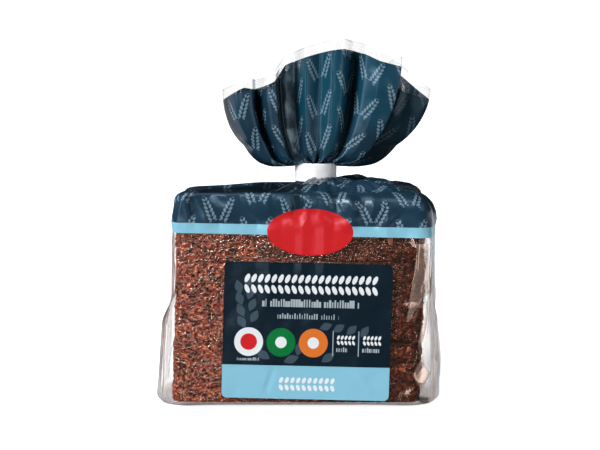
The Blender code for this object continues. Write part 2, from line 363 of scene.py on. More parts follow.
def finished(
    name: str, bm: bmesh.types.BMesh, material: bpy.types.Material, angle: float = 60.0
) -> bpy.types.Object:
    """Makes a bmesh an object of the scene.

    Args:
        name: The piece's name.
        bm: Its mesh, which is freed.
        material: Its finish.
        angle: Edges sharper than this many degrees are shaded sharp.

    Returns:
        The object, which sits at the origin.
    """
    mesh = bpy.data.meshes.new(name)
    bm.to_mesh(mesh)
    bm.free()
    mesh.shade_smooth()
    mesh.set_sharp_from_angle(angle=math.radians(angle))
    mesh.materials.append(material)
    piece = bpy.data.objects.new(name, mesh)
    bpy.context.scene.collection.objects.link(piece)
    return piece


def thicken(piece: bpy.types.Object, name: str, thickness: float, side: Side) -> None:
    """Gives a sheet its thickness, outwards or inwards, by a modifier of that name."""
    solid = piece.modifiers.new(name, "SOLIDIFY")
    solid.thickness = thickness
    solid.offset = side.value


Socket = bpy.types.NodeSocket
Value = Socket | float
Inputs = dict[str | int, object]


class Sheet:
    """Places and links the nodes of one shader or node group."""

    def __init__(self, tree: bpy.types.NodeTree) -> None:
        """Starts on a tree that holds no nodes."""
        self.tree = tree

    def node(self, kind: str, inputs: Inputs | None = None, **settings: object) -> bpy.types.Node:
        """Adds a node.

        Args:
            kind: Its kind.
            inputs: Sockets or values for its inputs, by their names or numbers.
            settings: Its settings, by their names.

        Returns:
            The node.
        """
        made = self.tree.nodes.new(kind)
        for name, value in settings.items():
            setattr(made, name, value)
        for name, value in (inputs or {}).items():
            self.join(value, made.inputs[name])
        return made

    def join(self, value: object, socket: Socket) -> None:
        """Links a socket to an input, or sets the input to a value, a colour without its alpha."""
        if isinstance(value, bpy.types.NodeSocket):
            self.tree.links.new(value, socket)
        else:
            socket.default_value = (*value, 1.0) if socket.type == "RGBA" else value

    def finish(self, shader: bpy.types.Node) -> None:
        """Makes a shader the material's surface."""
        self.node("ShaderNodeOutputMaterial", {"Surface": shader.outputs[0]})

    def object_place(self) -> Socket:
        """Returns the place on the object, in metres."""
        return self.node("ShaderNodeTexCoord").outputs["Object"]

    def stored(self, name: str) -> Socket:
        """Returns the number that the mesh stores under a name."""
        return self.node("ShaderNodeAttribute", attribute_name=name).outputs["Fac"]

    def math(self, operation: str, *values: Value, clamp: bool = False) -> Socket:
        """Returns the result of a Math node on the values."""
        inputs = dict(enumerate(values))
        return self.node("ShaderNodeMath", inputs, operation=operation, use_clamp=clamp).outputs[0]

    def add(self, a: Value, b: Value) -> Socket:
        """Returns a and b added."""
        return self.math("ADD", a, b)

    def subtract(self, a: Value, b: Value) -> Socket:
        """Returns a less b."""
        return self.math("SUBTRACT", a, b)

    def multiply(self, a: Value, b: Value) -> Socket:
        """Returns a times b."""
        return self.math("MULTIPLY", a, b)

    def divide(self, a: Value, b: Value) -> Socket:
        """Returns a divided by b."""
        return self.math("DIVIDE", a, b)

    def absolute(self, value: Value) -> Socket:
        """Returns a value without its sign."""
        return self.math("ABSOLUTE", value)

    def centred(self, value: Value) -> Socket:
        """Returns how far a value is past the middle between its whole numbers, from -0.5 to 0.5."""
        return self.subtract(self.math("FRACT", value), 0.5)

    def odd(self, value: Value) -> Socket:
        """Returns 1 where a whole number is odd, else 0."""
        return self.math("MODULO", self.absolute(value), 2.0)

    def below(self, value: Value, limit: Value) -> Socket:
        """Returns 1 where a value is below a limit, else 0."""
        return self.math("LESS_THAN", value, limit)

    def above(self, value: Value, limit: Value) -> Socket:
        """Returns 1 where a value is above a limit, else 0."""
        return self.math("GREATER_THAN", value, limit)

    def merged(self, operation: str, masks: list[Socket]) -> Socket:
        """Returns masks merged one after the other by a Math operation."""
        whole = masks[0]
        for mask in masks[1:]:
            whole = self.math(operation, whole, mask)
        return whole

    def any_of(self, masks: list[Socket]) -> Socket:
        """Returns the union of masks."""
        return self.merged("MAXIMUM", masks)

    def all_of(self, masks: list[Socket]) -> Socket:
        """Returns what all masks share."""
        return self.merged("MULTIPLY", masks)

    def vector(self, operation: str, *values: object) -> Socket:
        """Returns the vector, or for a length or a dot product the number, that a Vector Math node gives."""
        made = self.node("ShaderNodeVectorMath", dict(enumerate(values)), operation=operation)
        return made.outputs["Value" if operation in ("LENGTH", "DOT_PRODUCT") else "Vector"]

    def turned(self, vector: Socket, angle: Value) -> Socket:
        """Returns a vector turned about the third axis by an angle in radians."""
        inputs = {"Vector": vector, "Angle": angle}
        return self.node("ShaderNodeVectorRotate", inputs, rotation_type="Z_AXIS").outputs[0]

    def split(self, vector: Socket) -> tuple[Socket, ...]:
        """Returns a vector's three numbers."""
        return tuple(self.node("ShaderNodeSeparateXYZ", {0: vector}).outputs)

    def combine(self, x: Value, y: Value) -> Socket:
        """Returns a flat vector of two numbers."""
        return self.node("ShaderNodeCombineXYZ", {0: x, 1: y}).outputs[0]

    def ramp(
        self, value: Value, low: float, high: float, at_low: float = 0.0, at_high: float = 1.0
    ) -> Socket:
        """Returns a value eased from one number at low to another at high."""
        inputs = {"Value": value, "From Min": low, "From Max": high, "To Min": at_low, "To Max": at_high}
        return self.node("ShaderNodeMapRange", inputs, interpolation_type="SMOOTHSTEP", clamp=True).outputs[0]

    def blend(self, share: Value, a: Socket | Colour, b: Socket | Colour) -> Socket:
        """Returns colour a, or b where the share is 1."""
        return self.node("ShaderNodeMix", {"Factor": share, 6: a, 7: b}, data_type="RGBA").outputs[2]

    def noise(self, vector: Socket, scale: float, detail: float = 2.0, roughness: float = 0.5) -> Socket:
        """Returns smooth noise from 0 to 1."""
        inputs = {"Scale": scale, "Detail": detail, "Roughness": roughness, "Vector": vector}
        return self.node("ShaderNodeTexNoise", inputs).outputs["Fac"]

    def cells(self, vector: Socket, scale: float) -> Socket:
        """Returns the distance to the middle of the nearest of many random cells."""
        return self.node("ShaderNodeTexVoronoi", {"Scale": scale, "Vector": vector}).outputs["Distance"]

    def bump(self, height: Socket, strength: float, distance: float) -> Socket:
        """Returns the normal of a height, at that strength and with that many metres to its unit."""
        inputs = {"Strength": strength, "Distance": distance, "Height": height}
        return self.node("ShaderNodeBump", inputs).outputs[0]


class Print(Sheet):
    """Draws flat shapes of ink on the film, in millimetres of film."""

    def __init__(self, tree: bpy.types.NodeTree, place: Socket | None = None) -> None:
        """Starts a drawing on a tree, at the places that the film's mesh has or that a socket gives."""
        super().__init__(tree)
        self.place = self.node("ShaderNodeUVMap", uv_map="film").outputs[0] if place is None else place

    def box(self, x: float, y: float, width: float, height: float, corner: float = 0.0) -> Socket:
        """Masks a box.

        Args:
            x: Middle of the box, round the film.
            y: Middle of the box, up the film.
            width: Its width.
            height: Its height.
            corner: The radius of its corners.

        Returns:
            The mask, 1 inside the box.
        """
        near = self.vector("ABSOLUTE", self.vector("SUBTRACT", self.place, (x, y, 0)))
        over = self.vector("SUBTRACT", near, (width / 2 - corner, height / 2 - corner, 0))
        outside = self.vector("MULTIPLY", self.vector("MAXIMUM", over, (0, 0, 0)), (1, 1, 0))
        return self.below(self.vector("LENGTH", outside), max(corner, 1e-4))

    def oval(self, x: float, y: float, half_width: float, half_height: float) -> Socket:
        """Masks an oval about a middle."""
        near = self.vector("SUBTRACT", self.place, (x, y, 0))
        scaled = self.vector("MULTIPLY", near, (1 / half_width, 1 / half_height, 0))
        return self.below(self.vector("LENGTH", scaled), 1.0)

    def leaf(self, x: float, y: float, length: float, width: float, turn: float) -> Socket:
        """Masks a leaf with two pointed ends, along an axis turned by that many degrees."""
        near = self.vector("SUBTRACT", self.place, (x, y, 0))
        along, across, _ = self.split(self.turned(near, -math.radians(turn)))
        narrowing = self.math("POWER", self.absolute(self.divide(along, length / 2)), LEAF_POINT)
        half = self.multiply(self.subtract(1.0, narrowing), width / 2)
        return self.below(self.absolute(across), half)

    def facet(self, corners: tuple[tuple[float, float], ...]) -> Socket:
        """Masks a facet whose corners are given in order, and none of whose corners turns inwards."""
        middle = np.mean(corners, axis=0)
        inside = []
        for start, end in zip(corners, corners[1:] + corners[:1]):
            across = Vector((end[1] - start[1], start[0] - end[0], 0.0)).normalized()
            reach = across.x * start[0] + across.y * start[1]
            if across.x * middle[0] + across.y * middle[1] > reach:
                across, reach = -across, -reach
            inside.append(self.below(self.vector("DOT_PRODUCT", self.place, tuple(across)), reach))
        return self.all_of(inside)

    def grain_row(self, line: "Line") -> Socket:
        """Returns the mask of an ear of grain that lies on its side, in pairs of leaves."""
        x, y, _ = self.split(self.place)
        across = self.divide(self.subtract(x, line.left), line.pitch)
        beside = self.multiply(self.centred(across), line.pitch)
        from_stem = self.absolute(self.subtract(y, line.base + line.height / 2))
        middle, half = line.height * 0.27, line.height * 0.23
        leaning = self.turned(self.combine(beside, self.subtract(from_stem, middle)), line.lean)
        size = (2 / (line.fill * line.pitch), 1 / half, 0)
        leaf = self.below(self.vector("LENGTH", self.vector("MULTIPLY", leaning, size)), 1.0)
        width = line.right - line.left
        from_middle = self.absolute(self.subtract(x, line.left + width / 2))
        return self.multiply(leaf, self.below(from_middle, width / 2))

    def bars(self, line: "Line") -> Socket:
        """Returns the mask of a line of plain upright bars."""
        x, y, _ = self.split(self.place)
        across = self.divide(self.subtract(x, line.left), line.pitch)
        risen = self.subtract(y, line.base)
        row = self.math("FLOOR", self.divide(risen, line.row_pitch))
        number = self.math("MULTIPLY_ADD", row, line.row_step, self.math("FLOOR", across))
        inputs = {"W": self.add(number, line.seed)}
        chance = self.node("ShaderNodeTexWhiteNoise", inputs, noise_dimensions="1D")
        wide, tall, kept = self.split(chance.outputs["Color"])
        half = self.math("MULTIPLY_ADD", wide, line.fill * line.width_spread, line.fill * line.narrowest)
        top = self.subtract(line.height, self.multiply(self.below(tall, line.short_share), line.short))
        up = self.subtract(risen, self.multiply(row, line.row_pitch))
        masks = [
            self.below(self.absolute(self.centred(across)), half),
            self.below(up, top),
            self.above(row, -0.5),
            self.below(row, line.rows - 0.5),
            self.above(kept, line.gaps),
            self.above(x, line.left),
            self.below(x, line.right),
        ]
        return self.all_of(masks)


@dataclass(frozen=True)
class Line:
    """A line of plain upright bars that stands where a pack has words, in millimetres of film.

    The bars stand a pitch apart and fill about that share of it. Some are lower than the line's height
    by the short amount, and a share of them is left out as gaps. Further rows stand above the first.
    The row step keeps the random numbers of one row apart from those of the next.
    """

    left: float
    right: float
    base: float
    height: float
    pitch: float
    fill: float = 0.62
    short: float = 0.0
    gaps: float = 0.0
    seed: float = 0.5
    rows: int = 1
    row_pitch: float = 10.0
    lean: float = math.radians(24.0)
    row_step: float = 41.0
    narrowest: float = 0.23
    width_spread: float = 0.54
    short_share: float = 0.6


@dataclass(frozen=True)
class Inks:
    """The colours printed on the film, and the dark colour of the shade painted into its hollows and folds.
    """

    navy: Colour = srgb(30, 57, 77)
    label_navy: Colour = srgb(9, 26, 38)
    teal: Colour = srgb(14, 70, 90)
    # painted shade: the dark blue blended over the print in hollows, gathers and folds, where shade falls
    doubled: Colour = srgb(4, 16, 25)
    ear: Colour = srgb(112, 136, 152)
    leaf: Colour = srgb(58, 74, 86)
    pale_blue: Colour = srgb(128, 186, 208)
    red: Colour = srgb(200, 26, 30)
    white: Colour = srgb(222, 226, 230)
    grey: Colour = srgb(160, 172, 180)
    green: Colour = srgb(0, 112, 50)
    orange: Colour = srgb(214, 112, 36)


@dataclass(frozen=True)
class EarPattern:
    """The pairs of ears of grain on the dark print, every other pair half a row higher."""

    column: float = 7.773
    row: float = 15.0
    lift: float = 12.6
    start: float = 10.1
    tilt: float = 24.0
    jitter: float = 7.0
    half_length: float = 5.3
    leaf_pitch: float = 1.62
    leaf_place: float = 0.96
    leaf_half_width: float = 0.50
    leaf_half_length: float = 0.92
    leaf_slant: float = 34.0
    row_jitter: float = 0.7
    taper_span: Span = (-0.1, 1.2)
    tip_share: float = 0.5

    def group(self) -> bpy.types.NodeTree:
        """Returns a node group that turns a place on the film into the mask of the ears."""
        tree = bpy.data.node_groups.new("ears_of_grain", "ShaderNodeTree")
        tree.interface.new_socket("Place", in_out="INPUT", socket_type="NodeSocketVector")
        tree.interface.new_socket("Mask", in_out="OUTPUT", socket_type="NodeSocketFloat")
        page = Sheet(tree)
        u, v, _ = page.split(page.node("NodeGroupInput").outputs["Place"])
        across = page.divide(page.add(u, self.start), self.column)
        column = page.math("FLOOR", across)
        raised_pair = page.odd(page.math("FLOOR", page.multiply(across, 0.5)))
        rows_up = page.divide(page.subtract(v, self.lift), self.row)
        rows_up = page.add(rows_up, page.multiply(raised_pair, 0.5))
        inputs = {"Vector": page.combine(column, page.math("FLOOR", rows_up))}
        chance = page.node("ShaderNodeTexWhiteNoise", inputs, noise_dimensions="2D")
        shake, raised, _ = page.split(chance.outputs["Color"])
        local_u = page.multiply(page.centred(across), self.column)
        local_v = page.multiply(page.centred(rows_up), self.row)
        local_v = page.add(local_v, page.multiply(page.subtract(raised, 0.5), self.row_jitter))
        lean = page.multiply(page.subtract(page.odd(column), 0.5), math.radians(self.tilt) * 2)
        shaken = page.multiply(page.subtract(shake, 0.5), math.radians(self.jitter))
        upright = page.turned(page.combine(local_u, local_v), page.add(lean, shaken))
        across_ear, along_ear, _ = page.split(upright)
        height = page.divide(along_ear, self.half_length)
        taper = page.ramp(height, *self.taper_span, 1.0, self.tip_share)
        beside = page.subtract(page.absolute(across_ear), page.multiply(taper, self.leaf_place))
        above = page.multiply(page.centred(page.divide(along_ear, self.leaf_pitch)), self.leaf_pitch)
        slanted = page.turned(page.combine(beside, above), math.radians(self.leaf_slant))
        size = (1 / self.leaf_half_width, 1 / self.leaf_half_length, 0)
        leaf = page.vector("LENGTH", page.vector("MULTIPLY", slanted, size))
        grains = page.below(leaf, page.math("POWER", taper, 0.5))
        inside = page.below(page.absolute(height), 1.0)
        page.node("NodeGroupOutput", {"Mask": page.multiply(grains, inside)})
        return tree


@dataclass(frozen=True)
class Film:
    """The thin glossy film: printed ink on it, or clear with a faint haze.

    A span runs from where a change starts to where it is done, in millimetres round the film.
    """

    print_roughness: float = 0.24
    clear_roughness: float = 0.10
    clear_metal: float = 0.92
    clear_tint: Colour = (0.985, 0.985, 0.985)
    white_haze: Colour = (0.9, 0.9, 0.9)
    crumb_haze: Colour = (1.0, 0.72, 0.60)
    clinging: float = 2.9
    left_pressed: Span = (-52.0, -46.0)
    right_pressed: Span = (34.0, 44.0)
    calmer_right: Span = (-25.0, 30.0)
    wave_scale: float = 120.0
    crumple_scale: float = 620.0
    crumb_scale: float = 860.0
    fold_scale: float = 150.0
    haze: float = 0.001
    # the right side's hazy film, with a painted sheen laid over it in the same colour
    gusset_haze_and_sheen: float = 0.50
    gusset_start: Span = (53.0, 57.0)
    gusset_fade: Span = (62.0, 76.0)
    gusset_end: Span = (104.0, 116.0)
    # painted reflection: a milky cover laid on each facet where a softbox would show
    facet_painted_sheen: float = 0.34
    gusset_sheen: Colour = srgb(164, 138, 124)
    facets: tuple[tuple[tuple[float, float], ...], ...] = (
        ((45.8, 67.7), (50.1, 67.7), (50.9, 48.2), (43.7, 36.2), (42.7, 36.2)),
        ((51.0, 45.2), (51.2, 38.2), (49.9, 30.8), (48.0, 25.2), (47.6, 28.2)),
        ((49.6, 22.7), (46.0, 14.7), (49.3, 8.7), (52.4, 14.7)),
    )
    ior: float = 1.45
    sheen_tint: Colour = (0.62, 0.84, 1.0)
    stripe_middle: float = 72.1
    stripe_width: float = 4.1

    def relief(self, page: Print, ink: Socket, clinging: float) -> Socket:
        """Returns the height of the film's fine relief, with the crumb that it is pressed to."""
        place = page.object_place()
        height = page.multiply(page.noise(place, self.wave_scale, 1.0), 0.9)
        if not clinging:
            return height
        around, _, _ = page.split(page.place)
        crumb = page.multiply(page.cells(place, self.crumb_scale), 0.6)
        crumple = page.add(page.noise(place, self.crumple_scale, 3.0, 0.6), crumb)
        right = page.ramp(around, *self.right_pressed, 1.0, 0.06)
        pressed = page.math("MINIMUM", right, page.ramp(around, *self.left_pressed))
        lively = page.multiply(pressed, page.ramp(around, *self.calmer_right, clinging, clinging * 0.4))
        bare = page.subtract(1.0, page.multiply(ink, 0.96))
        return page.add(height, page.multiply(crumple, page.multiply(lively, bare)))

    def haze_and_painted_sheen(self, page: Print) -> Socket:
        """Returns how much haze and painted sheen the clear film carries: haze with a painted sheen in the
        folds of its right side, and a painted reflection on the facets.
        """
        around, _, _ = page.split(page.place)
        beside = page.ramp(around, *self.gusset_start)
        beside = page.multiply(beside, page.ramp(around, *self.gusset_fade, 1.0, 0.12))
        beside = page.multiply(beside, page.ramp(around, *self.gusset_end, 1.0, 0.0))
        upright = page.vector("MULTIPLY", page.object_place(), (1.0, 1.0, 0.3))
        folds = page.ramp(page.noise(upright, self.fold_scale, 2.0), 0.35, 0.65, 0.3, 1.0)
        haze_and_sheen = page.multiply(page.multiply(beside, folds), self.gusset_haze_and_sheen)
        facets = page.any_of([page.facet(corners) for corners in self.facets])
        return page.math("MAXIMUM", haze_and_sheen, page.multiply(facets, self.facet_painted_sheen))

    def shader(self, page: Print, colour: Socket, ink: Socket, bare: Colour, clinging: float) -> None:
        """Ends a film's shader.

        Args:
            page: The material's nodes.
            colour: The print's colour.
            ink: The mask of the print, 1 where the film is printed.
            bare: The colour of the haze in the clear film.
            clinging: How strongly the clear film takes on the crumb under it; 0 leaves it smooth.
        """
        behind = page.node("ShaderNodeNewGeometry").outputs["Backfacing"]
        gloss = page.node("ShaderNodeFresnel", {"IOR": page.ramp(behind, 0.0, 1.0, self.ior, 1 / self.ior)})
        seen = page.math("ADD", gloss.outputs[0], self.haze, clamp=True)
        metal, under = self.clear_metal, bare
        if clinging:
            haze_and_sheen = self.haze_and_painted_sheen(page)
            # painted sheen: the milky share swaps gloss for a fixed colour on the right side and the facets
            seen = page.math("ADD", seen, haze_and_sheen, clamp=True)
            metal = page.multiply(page.subtract(1.0, haze_and_sheen), self.clear_metal)
            under = page.blend(haze_and_sheen, bare, self.gusset_sheen)
        surface = {
            "Base Color": page.blend(ink, under, colour),
            "Metallic": page.multiply(metal, page.subtract(1.0, ink)),
            "Roughness": page.ramp(ink, 0.0, 1.0, self.clear_roughness, self.print_roughness),
            "IOR": self.ior,
            "Specular Tint": self.sheen_tint,
            "Normal": page.bump(self.relief(page, ink, clinging), 0.5, 0.0007),
        }
        covered = page.node("ShaderNodeBsdfPrincipled", surface).outputs[0]
        clear = page.node("ShaderNodeBsdfTransparent", {"Color": self.clear_tint}).outputs[0]
        cover = page.math("MAXIMUM", seen, ink)
        page.finish(page.node("ShaderNodeMixShader", {0: cover, 1: clear, 2: covered}))

    def dark_print(self, page: Print, ears: bpy.types.NodeTree, inks: Inks, teal: float) -> Socket:
        """Returns the colour of the dark print with its ears of grain, up to that much of it towards teal,
        with shade painted into its hollows and folds.
        """
        pattern = page.node("ShaderNodeGroup", {"Place": page.place}, node_tree=ears)
        cloud = page.ramp(page.noise(page.place, 0.05, 2.0), 0.3, 0.7, 0.0, 0.4)
        navy = page.blend(cloud, inks.navy, inks.label_navy)
        patch = page.ramp(page.noise(page.place, 0.023, 1.0), 0.40, 0.62, 0.0, teal)
        navy = page.blend(patch, navy, inks.teal)
        drawn = page.blend(page.multiply(pattern.outputs["Mask"], 0.9), navy, inks.ear)
        # painted shade: the print darkens towards this colour where the stored share marks a hollow or a fold
        return page.blend(page.multiply(page.stored("doubled"), 0.92), drawn, inks.doubled)

    def ruffle(self, ears: bpy.types.NodeTree, inks: Inks, margin: float) -> bpy.types.Material:
        """Returns the finish of the ruffle, which is clear along its rim for the margin's millimetres."""
        material = empty_material("printed_film_ruffle")
        page = Print(material.node_tree)
        _, v, _ = page.split(page.place)
        dark = self.dark_print(page, ears, inks, 0.75)
        self.shader(page, dark, page.below(v, -margin), self.white_haze, 0.0)
        return material

    def body(self, ears: bpy.types.NodeTree, inks: Inks, label: "Label") -> bpy.types.Material:
        """Returns the finish of the film round the bread: printed top, stripe and label, else clear."""
        material = empty_material("printed_film_body")
        page = Print(material.node_tree)
        _, v, _ = page.split(page.place)
        top_edge = self.stripe_middle + self.stripe_width / 2
        printed = page.above(v, top_edge - self.stripe_width)
        dark = self.dark_print(page, ears, inks, 0.15)
        colour = page.blend(page.above(v, top_edge), inks.pale_blue, dark)
        colour, labelled = label.draw(page, inks, colour)
        self.shader(page, colour, page.math("MAXIMUM", printed, labelled), self.crumb_haze, self.clinging)
        return material


@dataclass(frozen=True)
class Label:
    """The front's print: a dark panel with a pale foot, plain bars for words, plain discs and an oval.

    Places are in millimetres of film, round from the middle of the front and up from the ground.
    """

    middle: tuple[float, float] = (3.4, 31.5)
    size: tuple[float, float] = (67.4, 55.2)
    corner: float = 2.1
    foot: float = 13.5
    disc_line: float = 26.8
    disc_radius: float = 5.8
    disc_places: tuple[float, float, float] = (-19.9, -6.9, 6.1)
    oval_middle: tuple[float, float] = (3.6, 71.5)
    oval_half: tuple[float, float] = (17.3, 9.4)
    red_share: float = 0.58
    dot_radius: float = 2.3
    rule_places: tuple[float, float] = (14.0, 24.3)
    rule_size: tuple[float, float] = (0.35, 10.2)
    girth: float = 342.0
    back: tuple[Line, ...] = (
        Line(-28.0, 27.0, 25.0, 2.0, 1.05, 0.60, 0.5, 0.14, 131.5, 7, 4.3),
        Line(-28.0, 4.0, 21.0, 1.6, 0.90, 0.60, 0.4, 0.14, 141.5),
    )
    table: Line = Line(-28.0, 28.0, 7.4, 1.8, 4.7, 0.80, 0.0, 0.0, 151.5, 3, 3.4)
    leafy: tuple[Line, ...] = (
        Line(-22.4, 31.6, 46.4, 8.0, 2.7, 0.66),
        Line(15.4, 23.0, 26.2, 4.0, 1.52, 0.66),
        Line(25.9, 33.5, 26.2, 4.0, 1.52, 0.66),
        Line(-7.6, 15.4, 7.2, 5.6, 2.3, 0.64),
    )
    small: tuple[Line, ...] = (
        Line(-15.9, 24.4, 41.2, 3.1, 1.03, 0.68, 0.8, 0.12, 17.5),
        Line(-8.9, 16.0, 36.4, 2.2, 0.98, 0.42, 0.6, 0.10, 37.5),
        Line(15.2, 20.0, 23.4, 1.9, 0.9, 0.60, 0.4, 0.0, 57.5),
        Line(25.7, 33.0, 23.4, 1.9, 0.9, 0.60, 0.4, 0.0, 67.5),
        Line(-24.6, -15.2, 19.2, 1.2, 0.66, 0.62, 0.3, 0.1, 97.5),
    )

    def leaves(self, page: Print) -> Socket:
        """Returns the mask of the faint sprays of leaves behind the words."""
        masks = []
        for step in range(4):
            y = 34.8 + 4.7 * step
            masks.append(page.leaf(-22.9 - 0.5 * step, y, 5.8, 3.3, 122 - 5 * step))
            masks.append(page.leaf(-17.9 - 0.9 * step, y + 2.3, 5.6, 3.2, 62 + 5 * step))
        for step in range(4):
            masks.append(page.leaf(11.0 + 5.2 * step, 33.6 - 0.6 * step, 5.4, 3.1, 20 + 12 * step))
        for x, y, turn in ((-14.0, 21.6, 150), (-2.6, 20.0, 20), (0.6, 24.6, 75), (12.2, 21.0, 35)):
            masks.append(page.leaf(x, y, 6.4, 3.4, turn))
        return page.any_of(masks)

    def panel(self, page: Print, x: float) -> tuple[Socket, Socket]:
        """Returns the masks of a panel about a middle and of its foot."""
        _, v, _ = page.split(page.place)
        panel = page.box(x, self.middle[1], *self.size, self.corner)
        low = self.middle[1] - self.size[1] / 2
        return panel, page.multiply(panel, page.below(v, low + self.foot))

    def draw(self, page: Print, inks: Inks, under: Socket) -> tuple[Socket, Socket]:
        """Draws the front label, the oval and the back panel.

        Args:
            page: The film's nodes.
            inks: The colours.
            under: The colour of the print under them.

        Returns:
            The colour with them drawn in, and the mask of what they cover.
        """
        panel, foot = self.panel(page, self.middle[0])
        colour = page.blend(panel, under, inks.label_navy)
        colour = page.blend(page.multiply(self.leaves(page), panel), colour, inks.leaf)
        colour = page.blend(foot, colour, inks.pale_blue)
        rules = [page.box(place, self.disc_line, *self.rule_size) for place in self.rule_places]
        thin = page.any_of([*rules, *(page.bars(line) for line in self.small)])
        colour = page.blend(thin, colour, inks.grey)
        colour = page.blend(page.any_of([page.grain_row(line) for line in self.leafy]), colour, inks.white)
        fills = (inks.white, inks.green, inks.orange)
        discs = [(x, self.disc_radius, ink) for x, ink in zip(self.disc_places, fills)]
        discs.append((self.disc_places[0], self.disc_radius * self.red_share, inks.red))
        discs.extend((x, self.dot_radius, inks.white) for x in self.disc_places[1:])
        for x, radius, ink in discs:
            colour = page.blend(page.oval(x, self.disc_line, radius, radius), colour, ink)
        oval = page.oval(*self.oval_middle, *self.oval_half)
        colour = page.blend(oval, colour, inks.red)
        colour, behind = self.draw_back(page, inks, colour)
        return colour, page.any_of([panel, oval, behind])

    def draw_back(self, page: Print, inks: Inks, under: Socket) -> tuple[Socket, Socket]:
        """Draws the panel of small print on the back; takes and returns the same as draw."""
        u, v, _ = page.split(page.place)
        from_back = page.subtract(page.math("WRAP", u, self.girth, 0.0), self.girth / 2)
        back = Print(page.tree, page.combine(from_back, v))
        panel, foot = self.panel(back, 0.0)
        colour = back.blend(panel, under, inks.label_navy)
        colour = back.blend(foot, colour, inks.pale_blue)
        colour = back.blend(back.any_of([back.bars(line) for line in self.back]), colour, inks.grey)
        return back.blend(back.bars(self.table), colour, inks.label_navy), panel


def empty_material(name: str) -> bpy.types.Material:
    """Returns a new material whose node tree is empty."""
    material = bpy.data.materials.new(name)
    material.use_nodes = True
    material.node_tree.nodes.clear()
    return material


@dataclass(frozen=True)
class RyeCrumb:
    """Moist dark rye crumb: brown, with shade painted into its pits and a redder painted highlight on its
    crags.
    """

    pit: Colour = srgb(20, 4, 2)
    crumb: Colour = srgb(144, 46, 19)
    crag: Colour = srgb(240, 140, 88)
    fleck: Colour = srgb(240, 184, 132)
    gloss: Colour = (1.0, 0.72, 0.58)
    sheen: float = 0.22
    roughness: float = 0.46
    grain_scale: float = 1150.0
    nodule_scale: float = 1000.0
    patch_scale: float = 150.0
    cluster_scale: float = 600.0
    fleck_scale: float = 700.0
    fleck_radius: float = 0.17
    grain_push: float = 3.4
    cluster_push: float = 2.9
    nodule_push: float = 0.8
    crumb_levels: Span = (-0.10, 0.90)
    crag_levels: Span = (0.80, 1.85)
    # the dark patches are partly random tone and partly painted shade towards the right side
    patch_and_shade_levels: Span = (0.38, 0.64)
    patch_and_shade_share: float = 0.70
    half_width: float = 0.045

    def material(self) -> bpy.types.Material:
        """Returns the finish, which reads the relief stored on the mesh."""
        material = empty_material("rye_crumb")
        page = Sheet(material.node_tree)
        place = page.object_place()
        grain = page.noise(place, self.grain_scale, 3.0, 0.6)
        nodule = page.cells(place, self.nodule_scale)
        patch = page.noise(place, self.patch_scale, 3.0, 0.6)
        cluster = page.noise(place, self.cluster_scale, 2.0)
        # painted shade and highlight: the stored relief darkens the pits and lightens the crags, mixed with
        # random grain tone
        level = page.add(page.stored("relief"), page.multiply(page.subtract(grain, 0.5), self.grain_push))
        level = page.add(level, page.multiply(page.subtract(cluster, 0.5), self.cluster_push))
        level = page.subtract(level, page.multiply(page.subtract(nodule, 0.4), self.nodule_push))
        colour = page.blend(page.ramp(level, *self.crumb_levels), self.pit, self.crumb)
        colour = page.blend(page.ramp(level, *self.crag_levels), colour, self.crag)
        sideways, _, _ = page.split(place)
        # painted shade: the crumb darkens from its left side to its right, added to random dark patches
        patch = page.add(patch, page.ramp(sideways, -self.half_width, self.half_width, -0.12, 0.16))
        colour = page.blend(page.ramp(patch, *self.patch_and_shade_levels, 0.0, self.patch_and_shade_share), colour, self.pit)
        speck = page.below(page.cells(place, self.fleck_scale), self.fleck_radius)
        rare = page.above(page.noise(place, 260.0, 1.0), 0.55)
        height = page.subtract(page.add(grain, cluster), page.multiply(nodule, 0.9))
        surface = {
            "Base Color": page.blend(page.multiply(page.multiply(speck, rare), 0.6), colour, self.fleck),
            "Roughness": page.ramp(grain, 0.3, 0.7, self.roughness + 0.14, self.roughness - 0.14),
            "Specular IOR Level": self.sheen,
            "Specular Tint": self.gloss,
            "Normal": page.bump(height, 0.9, 0.0007),
        }
        page.finish(page.node("ShaderNodeBsdfPrincipled", surface))
        return material


@dataclass(frozen=True)
class Kernel:
    """A soaked grain: smooth, brown and a little shiny."""

    dark: Colour = srgb(104, 40, 20)
    light: Colour = srgb(164, 84, 44)
    roughness: float = 0.28

    def material(self) -> bpy.types.Material:
        """Returns the finish."""
        material = empty_material("kernel")
        page = Sheet(material.node_tree)
        place = page.object_place()
        shade = page.ramp(page.noise(place, 130.0, 1.0), 0.3, 0.7)
        surface = {
            "Base Color": page.blend(shade, self.dark, self.light),
            "Roughness": self.roughness,
            "Normal": page.bump(page.noise(place, 1400.0, 2.0), 0.4, 0.0003),
        }
        page.finish(page.node("ShaderNodeBsdfPrincipled", surface))
        return material


@dataclass(frozen=True)
class WhiteTape:
    """Smooth white tape with faint wrinkles across it."""

    white: Colour = srgb(252, 252, 255)
    shaded: Colour = srgb(246, 247, 252)
    roughness: float = 0.52

    def material(self) -> bpy.types.Material:
        """Returns the finish."""
        material = empty_material("white_tape_film")
        page = Sheet(material.node_tree)
        stretched = page.vector("MULTIPLY", page.object_place(), (1.0, 1.0, 0.25))
        wrinkle = page.noise(stretched, 620.0, 2.0)
        shade = page.ramp(wrinkle, 0.35, 0.65, 0.0, 0.5)
        surface = {
            "Base Color": page.blend(shade, self.white, self.shaded),
            "Roughness": self.roughness,
            "Normal": page.bump(wrinkle, 0.25, 0.0004),
        }
        page.finish(page.node("ShaderNodeBsdfPrincipled", surface))
        return material


